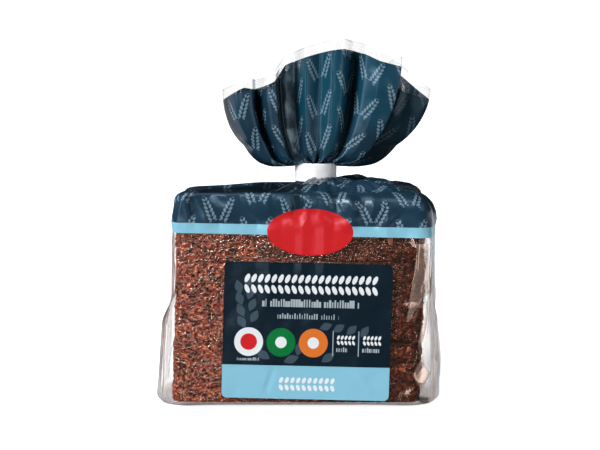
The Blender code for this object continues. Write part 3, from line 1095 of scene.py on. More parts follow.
@dataclass
class BreadStack:
    """The slices of bread, one on the other, with kernels showing on their cut and baked sides."""

    shape: BagShape
    count: int = 10
    thickness: float = 0.00812
    base: float = 0.0022
    joint: float = 0.00010
    columns: int = 880
    wobble: float = 0.00014
    crag_height: float = 0.00145
    crag_level: float = 0.78
    kernel_count: int = 80
    kernel_half: tuple[float, float, float] = (0.0027, 0.0011, 0.0007)
    kernel_depth: float = 0.0022
    bag_gap: float = 0.0003
    highest_crag: float = 0.00055
    relief_seed: float = 20.0
    side_rows: int = 17
    side_inset: float = 0.0006
    rounding: tuple[tuple[float, float], ...] = (
        (0.0140, 0.0),
        (0.0050, 0.0),
        (0.0014, 0.0),
        (0.0005, 0.00002),
        (0.0002, 0.0001),
        (0.00005, 0.0003),
    )

    def profile(self) -> np.ndarray:
        """Returns a slice's edge from below to above: how far in it is, and its height in the slice."""
        top = self.thickness - self.joint
        low, tall = self.side_inset, top - 2 * self.side_inset
        side = [(0.0, low + tall * step / self.side_rows) for step in range(self.side_rows + 1)]
        upper = [(inset, top - up) for inset, up in reversed(self.rounding)]
        return np.array([*self.rounding, *side, *upper])

    def relief(self, points: np.ndarray) -> np.ndarray:
        """Works out the crags of the crumb.

        Args:
            points: Places on the smooth slice.

        Returns:
            How far each place stands out, from about 0 in a pit to 1 on a crag.
        """
        lumps = noise_at(points, 0.0040, self.relief_seed)
        crumbs = noise_at(points, 0.0016, self.relief_seed + 3.0)
        nodules = 0.45 - cells_at(points, 0.0021, self.relief_seed + 5.0)
        pits = 1 - smooth_step(0.06, 0.24, cells_at(points, 0.0066, self.relief_seed + 9.0))
        return 0.62 + 0.34 * lumps + 0.38 * crumbs + 0.50 * nodules - 0.55 * pits

    def slice(self, index: int, material: bpy.types.Material) -> bpy.types.Object:
        """Builds one slice.

        Args:
            index: Its place in the stack, from the bottom.
            material: Its crumb.

        Returns:
            The slice.
        """
        draw = random.Random(100 + index)
        profile = self.profile()
        bm, share, row = grid_sheet(self.columns, len(profile) - 1)
        inset, height = profile[row, 0], profile[row, 1]
        low = self.base + index * self.thickness
        x, y = self.shape.outline_at(share)
        x *= (self.shape.loaf_width / 2 - self.bag_gap) / self.shape.half_x * (1 - inset / self.shape.half_x)
        y *= (self.shape.loaf_depth / 2 - self.bag_gap) / self.shape.half_y * (1 - inset / self.shape.half_y)
        wave = noise_at(np.stack([x, y, np.full_like(x, low)], axis=1), 0.022, 31.0)
        middle = self.shape.stack_centre(low + self.thickness / 2)
        shift_x = middle + draw.uniform(-self.wobble, self.wobble) * 1.3
        shift_y = draw.uniform(-self.wobble, self.wobble)
        points = np.stack([x, y, low + height], axis=1)
        ragged = noise_at(points, 0.0018, 50.0 + index) * 0.22
        crag = (self.relief(points) + ragged - self.crag_level) * self.crag_height
        wall = 1 - smooth_step(0.0005, 0.004, inset)
        rise = wall * np.minimum(crag + wave * 0.0003, self.highest_crag)
        points[:, :2] += self.shape.outwards(points, 6) * rise[:, None] + np.array([shift_x, shift_y])
        lay_out(bm, points, np.stack([share, height * MM], axis=1))
        rim = [edge for edge in bm.edges if edge.is_boundary]
        bmesh.ops.holes_fill(bm, edges=rim, sides=0)
        bmesh.ops.recalc_face_normals(bm, faces=bm.faces)
        made = finished(f"bread_slice_{index + 1:02d}", bm, material, 75.0)
        self._store_relief(made)
        return made

    def _store_relief(self, piece: bpy.types.Object) -> None:
        """Stores on the mesh how far each place stands out, for its finish to read."""
        mesh = piece.data
        co = np.empty(len(mesh.vertices) * 3)
        mesh.vertices.foreach_get("co", co)
        values = np.clip(self.relief(co.reshape(-1, 3)), 0.0, 1.2)
        layer = mesh.attributes.new("relief", "FLOAT", "POINT")
        layer.data.foreach_set("value", values)

    def side_point(self, draw: random.Random) -> tuple[Vector, Vector]:
        """Returns a random place on the stack's sides and the way it faces."""
        share = draw.random()
        height = draw.uniform(0.004, self.shape.bread_top - 0.003)
        x, y = self.shape.outline_at(np.array([share, share + 0.002]))
        along = Vector((x[1] - x[0], y[1] - y[0], 0.0)).normalized()
        facing = Vector((along.y, -along.x, 0.0))
        place = Vector((x[0] + float(self.shape.stack_centre(height)), y[0], height))
        return place - facing * self.kernel_depth, facing

    def kernels(self, material: bpy.types.Material) -> bpy.types.Object:
        """Returns the kernels set into the sides, as one piece."""
        draw = random.Random(7)
        bm = bmesh.new()
        for _ in range(self.kernel_count):
            place, facing = self.side_point(draw)
            turn = facing.to_track_quat("Z", "Y").to_matrix().to_4x4()
            spin = Matrix.Rotation(draw.uniform(0, math.pi), 4, "Z")
            tilt = Euler((draw.uniform(-0.3, 0.3), draw.uniform(-0.3, 0.3), 0)).to_matrix().to_4x4()
            size = draw.uniform(0.7, 1.15)
            scale = Matrix.Diagonal((*(half * size for half in self.kernel_half), 1.0))
            placing = Matrix.Translation(place) @ turn @ spin @ tilt @ scale
            bmesh.ops.create_uvsphere(bm, u_segments=12, v_segments=8, radius=1.0, matrix=placing)
        points = np.array([vert.co for vert in bm.verts])
        dents = noise_at(points, 0.0016, 61.0) * 0.00018
        for vert, dent in zip(bm.verts, dents):
            vert.co += vert.normal * dent
        return finished("kernels", bm, material, 80.0)

    def build(self) -> list[bpy.types.Object]:
        """Returns the slices and the kernels."""
        crumb = RyeCrumb().material()
        pieces = [self.slice(index, crumb) for index in range(self.count)]
        return [*pieces, self.kernels(Kernel().material())]


@dataclass
class FilmBody:
    """The film round the bread, from its flat base up to the neck."""

    shape: BagShape
    columns: int = 460
    front_density: float = 0.40
    base_rows: int = 3
    wall_rows: int = 74
    edge_rows: int = 6
    shoulder_rows: int = 21
    neck_rows: int = 3
    thickness: float = 0.0001
    base_lift: float = 0.00035
    print_wave: float = 1.3
    sag: float = 0.0033
    puff: float = 0.0037
    bread_gap: float = 0.0009
    corner_drop: float = 0.0024
    collar_bulge: float = 0.0013
    axis_share: float = 0.84
    axis_clear: float = 0.90
    fold_height: float = 0.0026
    swell_height: float = 0.0022
    corner_share: float = 0.1475
    widest_stretch: float = 1.05
    lowest_rise: float = -0.75
    highest_rise: float = 2.2
    tucked_rise: float = 0.0012
    tucked_in: float = 0.0004
    seal_half: float = 0.046
    base_print: float = -2.0
    creases: tuple[Crease, ...] = (
        Crease((-45.4, 86.5), (-43.8, 77.0), 1.8, 1.2, Side.IN),
        Crease((-48.6, 84.0), (-49.6, 73.0), 2.2, 0.7),
        Crease((-3.4, 92.0), (-0.2, 77.0), 2.6, 1.9, Side.IN),
        Crease((-9.0, 86.0), (-4.4, 79.5), 3.4, 1.2),
        Crease((3.2, 90.0), (2.6, 79.0), 3.2, 0.9),
        Crease((17.4, 91.0), (21.8, 77.4), 4.4, 2.1),
        Crease((12.6, 90.0), (14.4, 79.0), 3.0, 0.8, Side.IN),
        Crease((30.0, 88.0), (27.0, 76.0), 3.4, 0.9),
        Crease((-27.0, 86.0), (-30.0, 76.0), 5.0, 0.5),
        Crease((22.0, 77.4), (16.0, 72.5), 3.2, 0.5),
        Crease((31.0, 73.0), (36.5, 77.0), 2.0, 0.5),
        Crease((38.0, 84.0), (50.0, 79.0), 3.0, 0.7),
        Crease((46.8, 70.0), (43.8, 43.0), 4.6, 1.9),
        Crease((51.2, 70.0), (51.6, 42.0), 3.4, 1.9),
        Crease((43.8, 43.0), (42.6, 35.0), 3.6, 1.4),
        Crease((51.6, 42.0), (48.4, 24.0), 3.2, 1.3),
        Crease((49.6, 23.5), (45.4, 14.4), 2.8, 1.2),
        Crease((45.4, 14.4), (49.0, 8.8), 2.8, 1.1),
        Crease((49.0, 8.8), (53.0, 16.2), 2.6, 1.2),
        Crease((53.0, 22.0), (51.6, 8.0), 2.4, 1.0),
        Crease((42.0, 3.4), (50.0, 8.0), 2.6, 1.2),
        Crease((40.0, 1.6), (50.0, 4.4), 2.2, 0.7),
        Crease((-9.6, 16.4), (-12.4, 7.0), 1.8, 0.35, Side.IN),
        Crease((-24.0, 6.6), (-18.5, 5.4), 1.6, 0.30),
        Crease((-16.5, 21.0), (-12.5, 17.0), 1.4, 0.25),
        Crease((24.0, 15.0), (31.0, 5.0), 2.0, 0.30),
        Crease((-50.0, 60.0), (-49.0, 46.0), 2.4, 0.6),
        Crease((-13.0, 88.0), (-12.4, 44.0), 5.0, 0.38),
        Crease((0.9, 88.0), (0.5, 50.0), 3.2, 0.30),
        Crease((8.8, 86.0), (9.4, 52.0), 3.4, 0.35),
        Crease((34.0, 79.0), (34.6, 60.0), 3.0, 0.42),
    )
    scattered: int = 90

    def random_creases(self) -> list[Crease]:
        """Returns the small creases that fall at random on the sides and back."""
        draw = random.Random(41)
        half = self.shape.girth / 2
        made = []
        for _ in range(self.scattered):
            around = draw.uniform(46.0, half) * draw.choice((-1, 1))
            up = draw.uniform(3.0, 84.0)
            turn = draw.gauss(math.pi / 2, 0.5)
            length = draw.uniform(5.0, 22.0)
            end = (around + length * math.cos(turn), min(up + length * math.sin(turn), 85.0))
            side = Side.OUT if draw.random() < 0.7 else Side.IN
            made.append(Crease((around, up), end, draw.uniform(2.0, 4.0), draw.uniform(0.2, 0.7), side))
        return made

    def rows(self) -> int:
        """Returns the number of rows of vertices."""
        return self.base_rows + self.wall_rows + self.edge_rows + self.shoulder_rows + self.neck_rows + 1

    def base_curl(self, share: np.ndarray) -> tuple[np.ndarray, np.ndarray]:
        """Returns how far the bottom edge is drawn in, and up, at each share of the way round."""
        middle = smooth_step(0.35, 0.85, np.abs(frontal_at(share)))
        return mix(0.0010, 0.0060, middle), mix(0.0008, 0.0020, middle)

    def base_points(self, share: np.ndarray, way: np.ndarray) -> np.ndarray:
        """Returns points of the flat base, way running from 0 at the seal line to 1 at the edge."""
        zero = np.zeros_like(share)
        inward, _ = self.base_curl(share)
        edge = self.shape.drawn_in(self.shape.wall(share, zero), self.shape.stack_centre(zero), inward)
        line = np.stack([np.clip(edge[:, 0], -self.seal_half, self.seal_half), zero], axis=1)
        plan = line + (edge - line) * way[:, None]
        ripple = noise_at(np.column_stack([plan, zero]), 0.006, 15.0) * 0.0002
        return np.column_stack([plan, self.base_lift + np.abs(ripple) * (1 - way)])

    def wall_points(self, share: np.ndarray, way: np.ndarray) -> np.ndarray:
        """Returns points of the wall, way running from 0 at the base to 1 at the start of the top edge."""
        radius = self.shape.edge_round(share)
        height = self.base_lift + way * (self.shape.shoulder_top - radius - self.base_lift)
        inward, upward = self.base_curl(share)
        curl = np.clip(1 - (height - self.base_lift) / upward, 0.0, 1.0)
        pulled = inward * (1 - np.sqrt(np.clip(1 - curl ** 2, 0.0, 1.0)))
        plan = self.shape.drawn_in(self.shape.wall(share, height), self.shape.stack_centre(height), pulled)
        return np.column_stack([plan, height])

    def edge_points(self, share: np.ndarray, way: np.ndarray) -> np.ndarray:
        """Returns points of the rounded top edge, way running from 0 at the wall to 1 at the top."""
        radius = self.shape.edge_round(share)
        low = self.shape.shoulder_top - radius
        angle = way * math.pi / 2
        centre = self.shape.stack_centre(low)
        plan = self.shape.drawn_in(self.shape.wall(share, low), centre, radius * (1 - np.cos(angle)))
        to_left = smooth_step(-0.30, -0.80, sideways_at(share))
        lowered = self.corner_drop * to_left * smooth_step(0.2, -0.3, frontal_at(share))
        return np.column_stack([plan, low + radius * np.sin(angle) - lowered * way])

    def shoulder_points(self, share: np.ndarray, way: np.ndarray) -> np.ndarray:
        """Returns points of the shoulder, way running from 0 at the top edge to 1 at the neck."""
        start = self.edge_points(share, np.ones_like(share))
        end = self.shape.neck(share, self.shape.collar * 0.4)
        plan = start[:, :2] + (end - start[:, :2]) * way[:, None]
        ring = on_ring(share, 0.35 * way)
        hump = 4 * way * (1 - way)
        folds = turbulence_at(ring, 0.16, 12.0, 2) - 0.45
        broad = noise_at(ring, 0.42, 17.0)
        uneven = (folds * self.fold_height + broad * self.swell_height) * hump ** 0.7 * (1 - 0.4 * way)
        climb = (self.shape.neck_low - self.shape.shoulder_top) * way ** 3
        rise = climb - self.settled(share, way) + uneven
        height = np.maximum(start[:, 2] + rise, self.shape.bread_top + self.bread_gap)
        return self.pleated(np.column_stack([plan, height]), share, smooth_step(0.55, 1.0, way))

    def settled(self, share: np.ndarray, way: np.ndarray) -> np.ndarray:
        """Returns how far the shoulder sinks: down at the left, and less than 0 where it is puffed up."""
        sideways, frontal = sideways_at(share), frontal_at(share)
        to_front = smooth_step(-0.4, 0.4, frontal)
        sunk = self.sag * (smooth_step(0.0, mix(0.34, 0.24, to_front), way) - smooth_step(0.62, 1.0, way))
        front_hump = smooth_step(0.0, 0.34, way) * (1 - 0.5 * smooth_step(0.5, 1.0, way))
        front_hump *= 1 - smooth_step(0.82, 1.0, way)
        back_hump = 0.6 * (4 * way * (1 - way))
        swollen = self.puff * mix(back_hump, front_hump, to_front)
        to_left = smooth_step(mix(0.10, -0.02, to_front), mix(-0.32, -0.36, to_front), sideways)
        collar = self.collar_bulge * np.exp(-((way - 0.74) / 0.13) ** 2) * smooth_step(0.5, 0.9, frontal)
        return mix(-swollen, sunk, to_left) - collar * smooth_step(-0.45, -0.10, sideways)

    def pleated(self, points: np.ndarray, share: np.ndarray, depth: np.ndarray) -> np.ndarray:
        """Gathers the film towards the neck's axis in deep pleats.

        Args:
            points: Places on the even film.
            share: Their shares of the way round.
            depth: How fully each is gathered, from 0 to 1.

        Returns:
            The gathered places.
        """
        inwards = pleats_at(on_ring(share), share, 23.0, 1.4) * depth * self.axis_share
        radius, outwards = self.shape.from_neck(points)
        pull = np.minimum(inwards * self.shape.neck_half_x, radius * self.axis_clear)
        moved = points.copy()
        moved[:, :2] -= outwards * pull[:, None]
        return moved

    def print_places(self, share: np.ndarray, row: np.ndarray, points: np.ndarray) -> np.ndarray:
        """Works out where each vertex lies on the flat film.

        Args:
            share: Shares of the way round.
            row: Row numbers.
            points: The vertices' places.

        Returns:
            Millimetres round the film and up the film, one pair to a row.
        """
        girth, rows = self.shape.girth, self.rows()
        top_row = self.base_rows + self.wall_rows
        order = np.lexsort((row, share))
        grid = points[order].reshape(-1, rows, 3)
        shares = share[order].reshape(-1, rows)
        climbed = climbed_along(grid)
        climbed -= climbed[:, top_row:top_row + 1]
        gap = np.linalg.norm(np.diff(grid, axis=0), axis=2) * MM
        widest = np.diff(shares[:, 0])[:, None] * girth * self.widest_stretch
        lengths = np.vstack([np.zeros(rows), np.cumsum(np.minimum(gap, widest), axis=0)])
        past_front = np.abs(shares) >= self.corner_share
        past_side = np.abs(shares) >= 0.5 - self.corner_share
        panel_of = np.sign(shares) * (0.25 * past_front + 0.25 * past_side)
        flat = np.empty_like(lengths)
        for panel in np.unique(panel_of):
            column = int(np.argmin(np.abs(shares[:, 0] - panel)))
            here = panel_of == panel
            flat[here] = (lengths - lengths[column] + panel * girth)[here]
        above = np.arange(rows)[None, :] > top_row
        around = np.where(above, flat, shares * girth)
        up = np.where(above, grid[:, top_row, 2][:, None] * MM + climbed, grid[:, :, 2] * MM)
        placed = np.empty((len(share), 2))
        placed[order] = np.column_stack([around.ravel(), up.ravel()])
        placed[row < self.base_rows, 1] = self.base_print
        placed[:, 1] += self.print_wave * sideways_at(share)
        return placed

    def doubled(self, points: np.ndarray, share: np.ndarray, row: np.ndarray) -> np.ndarray:
        """Works out how much shade is painted on the print: in the left hollow, the gathers and the sharp
        folds.

        Args:
            points: The vertices' places.
            share: Their shares of the way round.
            row: Their row numbers.

        Returns:
            How much shade is painted on each vertex, a share from 0 to 1.
        """
        way = (row - self.base_rows - self.wall_rows - self.edge_rows) / self.shoulder_rows
        # painted shade: the left hollow, the pleats at the neck, the tucked film and the inward creases are
        # darkened
        hollow = smooth_step(0.03, 0.09, way) * smooth_step(0.02, -0.30, sideways_at(share))
        pleats = smooth_step(0.05, 0.45, noise_at(on_ring(share, 0.4 * way), 0.13, 18.0))
        pleats *= smooth_step(0.15, 0.55, way)
        around, up = share * self.shape.girth, points[:, 2] * MM
        folds = [-crease.rise(around, up) for crease in self.creases if crease.side is Side.IN]
        tucked = np.max([pleats, smooth_step(0.50, 0.76, way), *folds], axis=0)
        return np.maximum(hollow, 0.8 * np.clip(tucked, 0.0, 1.0))

    def creased(self, points: np.ndarray, share: np.ndarray, row: np.ndarray) -> np.ndarray:
        """Bends the wall and top edge into the facets and dents of real film.

        Args:
            points: Places on the even film.
            share: Their shares of the way round.
            row: Their row numbers.

        Returns:
            The creased places.
        """
        around, up = share * self.shape.girth, points[:, 2] * MM
        rise = np.zeros(len(points))
        for crease in (*self.creases, *self.random_creases()):
            rise += crease.rise(around, up)
        side = smooth_step(47.0, 56.0, np.abs(around)) * (1 - smooth_step(115.0, 124.0, np.abs(around)))
        streaks = turbulence_at(points * np.array([1.0, 1.0, 0.12]), 0.0075, 5.0, 2) - 0.5
        rise += side * streaks * mix(0.5, 1.7, 1 - smooth_step(0.045, 0.075, points[:, 2]))
        rise += noise_at(points, 0.013, 8.0) * 0.22 + noise_at(points, 0.005, 9.0) * 0.08
        printed = smooth_step(0.070, 0.076, points[:, 2])
        rise += printed * (turbulence_at(points, 0.015, 4.0, 2) - 0.45) * 1.6
        done = self.base_rows + self.wall_rows + self.edge_rows
        ends = smooth_step(self.base_rows - 0.5, self.base_rows + 6, row)
        ends *= 1 - smooth_step(done, done + 5, row)
        rise = np.clip(rise, self.lowest_rise, self.highest_rise) / MM * ends
        moved = points.copy()
        moved[:, :2] += self.shape.outwards(points, 5) * rise[:, None]
        return moved

    def build(self, material: bpy.types.Material) -> bpy.types.Object:
        """Returns the film round the bread."""
        rows = self.rows()
        bm, share, row = grid_sheet(self.columns, rows - 1)
        share = share - self.front_density * sideways_at(share) / (2 * math.pi)
        points = np.zeros((len(share), 3))
        start = 0
        for count, place in (
            (self.base_rows, self.base_points),
            (self.wall_rows, self.wall_points),
            (self.edge_rows, self.edge_points),
            (self.shoulder_rows, self.shoulder_points),
        ):
            here = (row >= start) & (row <= start + count)
            points[here] = place(share[here], (row[here] - start) / count)
            start += count
        inside = row > start
        height = self.shape.neck_low + (row - start) * self.tucked_rise
        neck = np.column_stack([self.shape.neck(share, -self.tucked_in), height])
        points[inside] = self.pleated(neck, share, np.ones(len(share)))[inside]
        points = self.creased(points, share, row)
        points[:, 2] = np.maximum(points[:, 2], self.base_lift)
        lay_out(bm, points, self.print_places(share, row, points), doubled=self.doubled(points, share, row))
        piece = finished("film_body", bm, material, 70.0)
        thicken(piece, "film_thickness", self.thickness, Side.IN)
        return piece


@dataclass
class Ruffle:
    """The film above the tape, which flares into an open fan of folds."""

    shape: BagShape
    columns: int = 440
    rows: int = 84
    thickness: float = 0.0001
    margin: float = 4.3
    top_x: float = 0.012
    rise: float = 0.0510
    side_fall: float = 0.0210
    fall_power: float = 1.6
    left_dip: float = 0.0046
    left_tip: float = -0.0389
    right_tip: float = 0.0479
    spread_left: float = 2.0
    spread_right: float = 1.65
    climb_power: float = 1.9
    droop: float = 0.0034
    droop_span: float = 0.45
    mouth_width: float = 0.0126
    back_crest: float = 0.0096
    back_valley: float = 0.0016
    back_folds: int = 19
    gather_depth: float = 0.0068
    axis_clear: float = 0.88
    lift: float = 0.0003
    tucked_rows: int = 3
    tucked_rise: float = 0.0012
    tucked_share: float = 0.80
    front_half: float = 0.25
    curve_steps: int = 24
    groove_count: int = 17
    crispness: float = 0.55
    film_round: float = 300.0
    front_folds: tuple[tuple[float, float, float], ...] = (
        (-0.0335, 0.0100, -0.0010),
        (-0.0265, 0.0098, -0.0002),
        (-0.0250, 0.0016, -0.0002),
        (-0.0205, 0.0092, -0.0012),
        (-0.0166, 0.0102, -0.0020),
        (-0.0150, 0.0012, 0.0000),
        (-0.0088, 0.0020, -0.0005),
        (-0.0045, 0.0106, 0.0000),
        (0.0020, 0.0066, 0.0000),
        (0.0065, 0.0110, 0.0000),
        (0.0118, 0.0104, 0.0000),
        (0.0158, 0.0016, -0.0006),
        (0.0205, 0.0084, 0.0000),
        (0.0265, 0.0106, 0.0000),
        (0.0356, 0.0092, 0.0034),
        (0.0312, 0.0042, -0.0010),
        (0.0290, 0.0014, -0.0080),
        (0.0390, 0.0022, -0.0050),
    )

    def rim_rise(self, x: float) -> float:
        """Returns the rim's height over the tape at a place sideways from the neck."""
        tip = self.left_tip if x < self.top_x else self.right_tip
        share = abs((x - self.top_x) / (tip - self.top_x))
        dip = smooth_step(-0.032, -0.023, x) * smooth_step(-0.0138, -0.0150, x)
        return self.rise - self.side_fall * share ** self.fall_power - self.left_dip * float(dip)

    def smooth_curve(self, points: list[Vector], before: Vector, after: Vector) -> list[Vector]:
        """Returns many points along a smooth curve through the points."""
        ends = [before, *points, after]
        found = []
        for a, b, c, d in zip(ends, ends[1:], ends[2:], ends[3:]):
            for step in range(self.curve_steps):
                t = step / self.curve_steps
                cubic = (3 * b - a - 3 * c + d) * t ** 3
                curved = 0.5 * (2 * b + (c - a) * t + (2 * a - 5 * b + 4 * c - d) * t ** 2 + cubic)
                found.append(curved.lerp(b.lerp(c, t), self.crispness))
        return [*found, points[-1]]

    def rim(self, share: np.ndarray) -> np.ndarray:
        """Places points along the rim.

        Args:
            share: Shares of the way round, from the middle of the front to the right.

        Returns:
            Each point's place sideways and forwards from the neck and its height over the tape.
        """
        left = Vector((self.left_tip, 0, self.rim_rise(self.left_tip)))
        right = Vector((self.right_tip, 0, self.rim_rise(self.right_tip)))
        folds = [Vector((x, -reach, self.rim_rise(x) + extra)) for x, reach, extra in self.front_folds]
        front = [left, *folds, right]
        facing = self.smooth_curve(front, front[0], front[-1])
        back = [right]
        for step in range(1, self.back_folds + 1):
            x = right.x + (left.x - right.x) * step / (self.back_folds + 1)
            near = max((-p.y for p in facing if abs(p.x - x) < 0.0018), default=0.0)
            reach = min(max(self.mouth_width - near, self.back_valley), self.back_crest)
            back.append(Vector((x, reach, self.rim_rise(x))))
        back.append(left)
        halves = []
        for run, before, after in ((front, back[-2], back[1]), (back, front[-2], front[1])):
            curve = np.array(self.smooth_curve(run, before, after))
            gone = np.concatenate([[0.0], np.cumsum(np.linalg.norm(np.diff(curve, axis=0), axis=1))])
            halves.append((curve, gone / gone[-1]))
        way = (share + 0.25) % 1.0 * 2
        on_front = way < 1.0
        found = np.empty((len(share), 3))
        for mask, (curve, gone), part in ((on_front, halves[0], way), (~on_front, halves[1], way - 1)):
            for axis in range(3):
                found[mask, axis] = np.interp(part[mask], gone, curve[:, axis])
        return found

    def even_points(self, share: np.ndarray, way: np.ndarray) -> np.ndarray:
        """Returns points of the ruffle without its folds, way running from 0 at the tape to 1 at the rim."""
        rim = self.rim(share)
        to_right = smooth_step(-0.6, 0.8, sideways_at(share))
        spread = 1 - (1 - way) ** mix(self.spread_left, self.spread_right, to_right)
        start = self.shape.neck(share, self.shape.collar)
        end = rim[:, :2] + np.array([self.shape.neck_x, 0.0])
        plan = start + (end - start) * spread[:, None]
        near = np.minimum(way / self.droop_span, 1.0)
        drooped = self.droop * sideways_at(share) ** 2 * 4 * near * (1 - near)
        height = self.shape.neck_high + self.lift + rim[:, 2] * way ** self.climb_power - drooped
        return np.column_stack([plan, height])

    def folded(self, points: np.ndarray, share: np.ndarray, way: np.ndarray) -> np.ndarray:
        """Adds the gathers at the tape and the crisp small folds of the fan."""
        ring = on_ring(share, 0.5 * way)
        gathers = pleats_at(ring, share, 27.0, 1.6) * self.gather_depth * (1 - smooth_step(0.0, 0.28, way))
        crisp = (turbulence_at(ring, 0.20, 33.0, 1) - 0.5) * 0.0005 * smooth_step(0.02, 0.25, way)
        facets = turbulence_at(points, 0.026, 35.0, 2) * 0.0010 * smooth_step(0.15, 0.5, way)
        radius, outwards = self.shape.from_neck(points)
        near_axis = np.minimum(gathers + self.grooves(share, way), radius * self.axis_clear)
        frontal = frontal_at(share)
        inwards = np.sign(-frontal) * (crisp + facets - 0.0003) * smooth_step(0.0, 0.2, np.abs(frontal))
        moved = points.copy()
        moved[:, :2] -= outwards * near_axis[:, None]
        moved[:, 1] += inwards
        return moved

    def doubled(self, share: np.ndarray, way: np.ndarray) -> np.ndarray:
        """Returns how much shade is painted on the print at each vertex: in the valleys and the grooves."""
        reach = np.abs(self.rim(share)[:, 1])
        # painted shade: the rim's deep valleys and the grooves over the tape are darkened
        valley = smooth_step(0.0070, 0.0030, reach) * smooth_step(0.05, 0.3, way)
        grooves = smooth_step(0.0002, 0.0016, self.grooves(share, way))
        cloud = smooth_step(-0.35, 0.25, noise_at(on_ring(share, 0.8 * way), 0.5, 39.0))
        return np.maximum(valley * mix(0.55, 1.0, cloud), 0.8 * grooves)

    def grooves(self, share: np.ndarray, way: np.ndarray) -> np.ndarray:
        """Returns the depth of the uneven grooves that run up from the tape and fade out."""
        draw = random.Random(83)
        depth = np.zeros(len(share))
        for number in range(self.groove_count):
            place = (number + draw.uniform(-0.3, 0.3)) / self.groove_count
            reach, width = draw.uniform(0.24, 0.56), draw.uniform(0.008, 0.018)
            away = np.abs((share - place + 0.5 + draw.uniform(-0.02, 0.02) * way) % 1.0 - 0.5)
            fade = (1 - smooth_step(reach * 0.4, reach, way)) * smooth_step(0.0, 0.06, way)
            groove = draw.uniform(0.0012, 0.0026) * np.clip(1 - away / width, 0.0, 1.0)
            depth = np.maximum(depth, groove * fade)
        return depth

    def print_places(self, share: np.ndarray, row: np.ndarray, points: np.ndarray) -> np.ndarray:
        """Returns where each vertex lies on the flat film, in millimetres round it and up to the rim at 0."""
        rows = self.rows + 1
        order = np.lexsort((row, share))
        grid = points[order].reshape(-1, rows, 3)
        shares = share[order].reshape(-1, rows)
        climbed = climbed_along(grid)
        gap = np.linalg.norm(np.diff(grid, axis=0), axis=2)
        lengths = np.vstack([np.zeros(rows), np.cumsum(gap, axis=0)]) * MM
        folds = [-self.front_half, *self.valley_shares(), self.front_half]
        around = shares * self.film_round
        for low, high in zip(folds, folds[1:]):
            middle = (low + high) / 2
            column = int(np.argmin(np.abs(shares[:, 0] - middle)))
            here = (np.abs(shares) < self.front_half) & (shares >= low) & (shares < high)
            around[here] = (lengths - lengths[column] + middle * self.film_round)[here]
        placed = np.empty((len(share), 2))
        placed[order, 0] = around.ravel()
        placed[order, 1] = (climbed - climbed[:, -1:]).ravel()
        return placed

    def valley_shares(self) -> list[float]:
        """Returns the shares of the way round at which the front wall's deep valleys lie."""
        share = np.linspace(-self.front_half, self.front_half, 1200)
        reach = -self.rim(share)[:, 1]
        lows = (reach[1:-1] < reach[:-2]) & (reach[1:-1] <= reach[2:]) & (reach[1:-1] < 0.004)
        return [float(s) for s in share[1:-1][lows]]

    def build(self, material: bpy.types.Material) -> bpy.types.Object:
        """Returns the ruffle."""
        bm, share, row = grid_sheet(self.columns, self.rows)
        way = np.clip((row - self.tucked_rows) / (self.rows - self.tucked_rows), 0.0, 1.0)
        points = self.folded(self.even_points(share, way), share, way)
        tucked = row < self.tucked_rows
        axis = np.array([self.shape.neck_x, 0.0])
        points[tucked, :2] = axis + (points[tucked, :2] - axis) * self.tucked_share
        sunk = (self.tucked_rows - row[tucked]) * self.tucked_rise
        points[tucked, 2] = self.shape.neck_high + self.lift - sunk
        lay_out(bm, points, self.print_places(share, row, points), doubled=self.doubled(share, way))
        piece = finished("film_ruffle", bm, material, 70.0)
        thicken(piece, "film_thickness", self.thickness, Side.IN)
        return piece


@dataclass
class NeckTape:
    """The strip of white tape wound round the neck, one end lapped over the other."""

    shape: BagShape
    gap: float = 0.0004
    thickness: float = 0.00028
    lap_from: float = math.radians(-96.0)
    lap: float = math.radians(52.0)
    lap_step: float = 0.00034
    columns: int = 180
    rows: int = 14
    margin: float = 0.0002

    def build(self, material: bpy.types.Material) -> bpy.types.Object:
        """Returns the tape."""
        bm, share, row = grid_sheet(self.columns, self.rows)
        way = row / self.rows
        from_middle = np.abs(2 * way - 1)
        turned = (share + 0.5) * (2 * math.pi + self.lap)
        angle = self.lap_from + turned
        over = smooth_step(2 * math.pi - 0.12, 2 * math.pi + 0.10, turned)
        height = self.shape.neck_low + self.margin + way * (self.shape.tape_height - 2 * self.margin)
        circle = np.stack([np.cos(angle), np.sin(angle)], axis=1)
        wrinkle = noise_at(np.column_stack([circle, height / 0.004]), 0.45, 44.0) * 0.00011
        pinch = np.sin(angle * 11.0 + 1.3) * 0.00007 * from_middle ** 2
        out = self.gap + over * self.lap_step + wrinkle + pinch
        edge = noise_at(np.column_stack([circle, way]), 0.7, 46.0) * 0.00012 * from_middle
        tilt = 0.00025 * over * (share + 0.5)
        x = self.shape.neck_x + (self.shape.neck_half_x + out) * circle[:, 0]
        y = (self.shape.neck_half_y + out) * circle[:, 1]
        lay_out(bm, np.column_stack([x, y, height + edge - tilt]), np.stack([share, way], axis=1))
        bmesh.ops.reverse_faces(bm, faces=bm.faces)
        bmesh.ops.recalc_face_normals(bm, faces=bm.faces)
        piece = finished("tape_strip", bm, material)
        thicken(piece, "tape_thickness", self.thickness, Side.OUT)
        bevel = piece.modifiers.new("soft_edge", "BEVEL")
        bevel.width = 0.00007
        bevel.segments = 2
        bevel.limit_method = "ANGLE"
        return piece


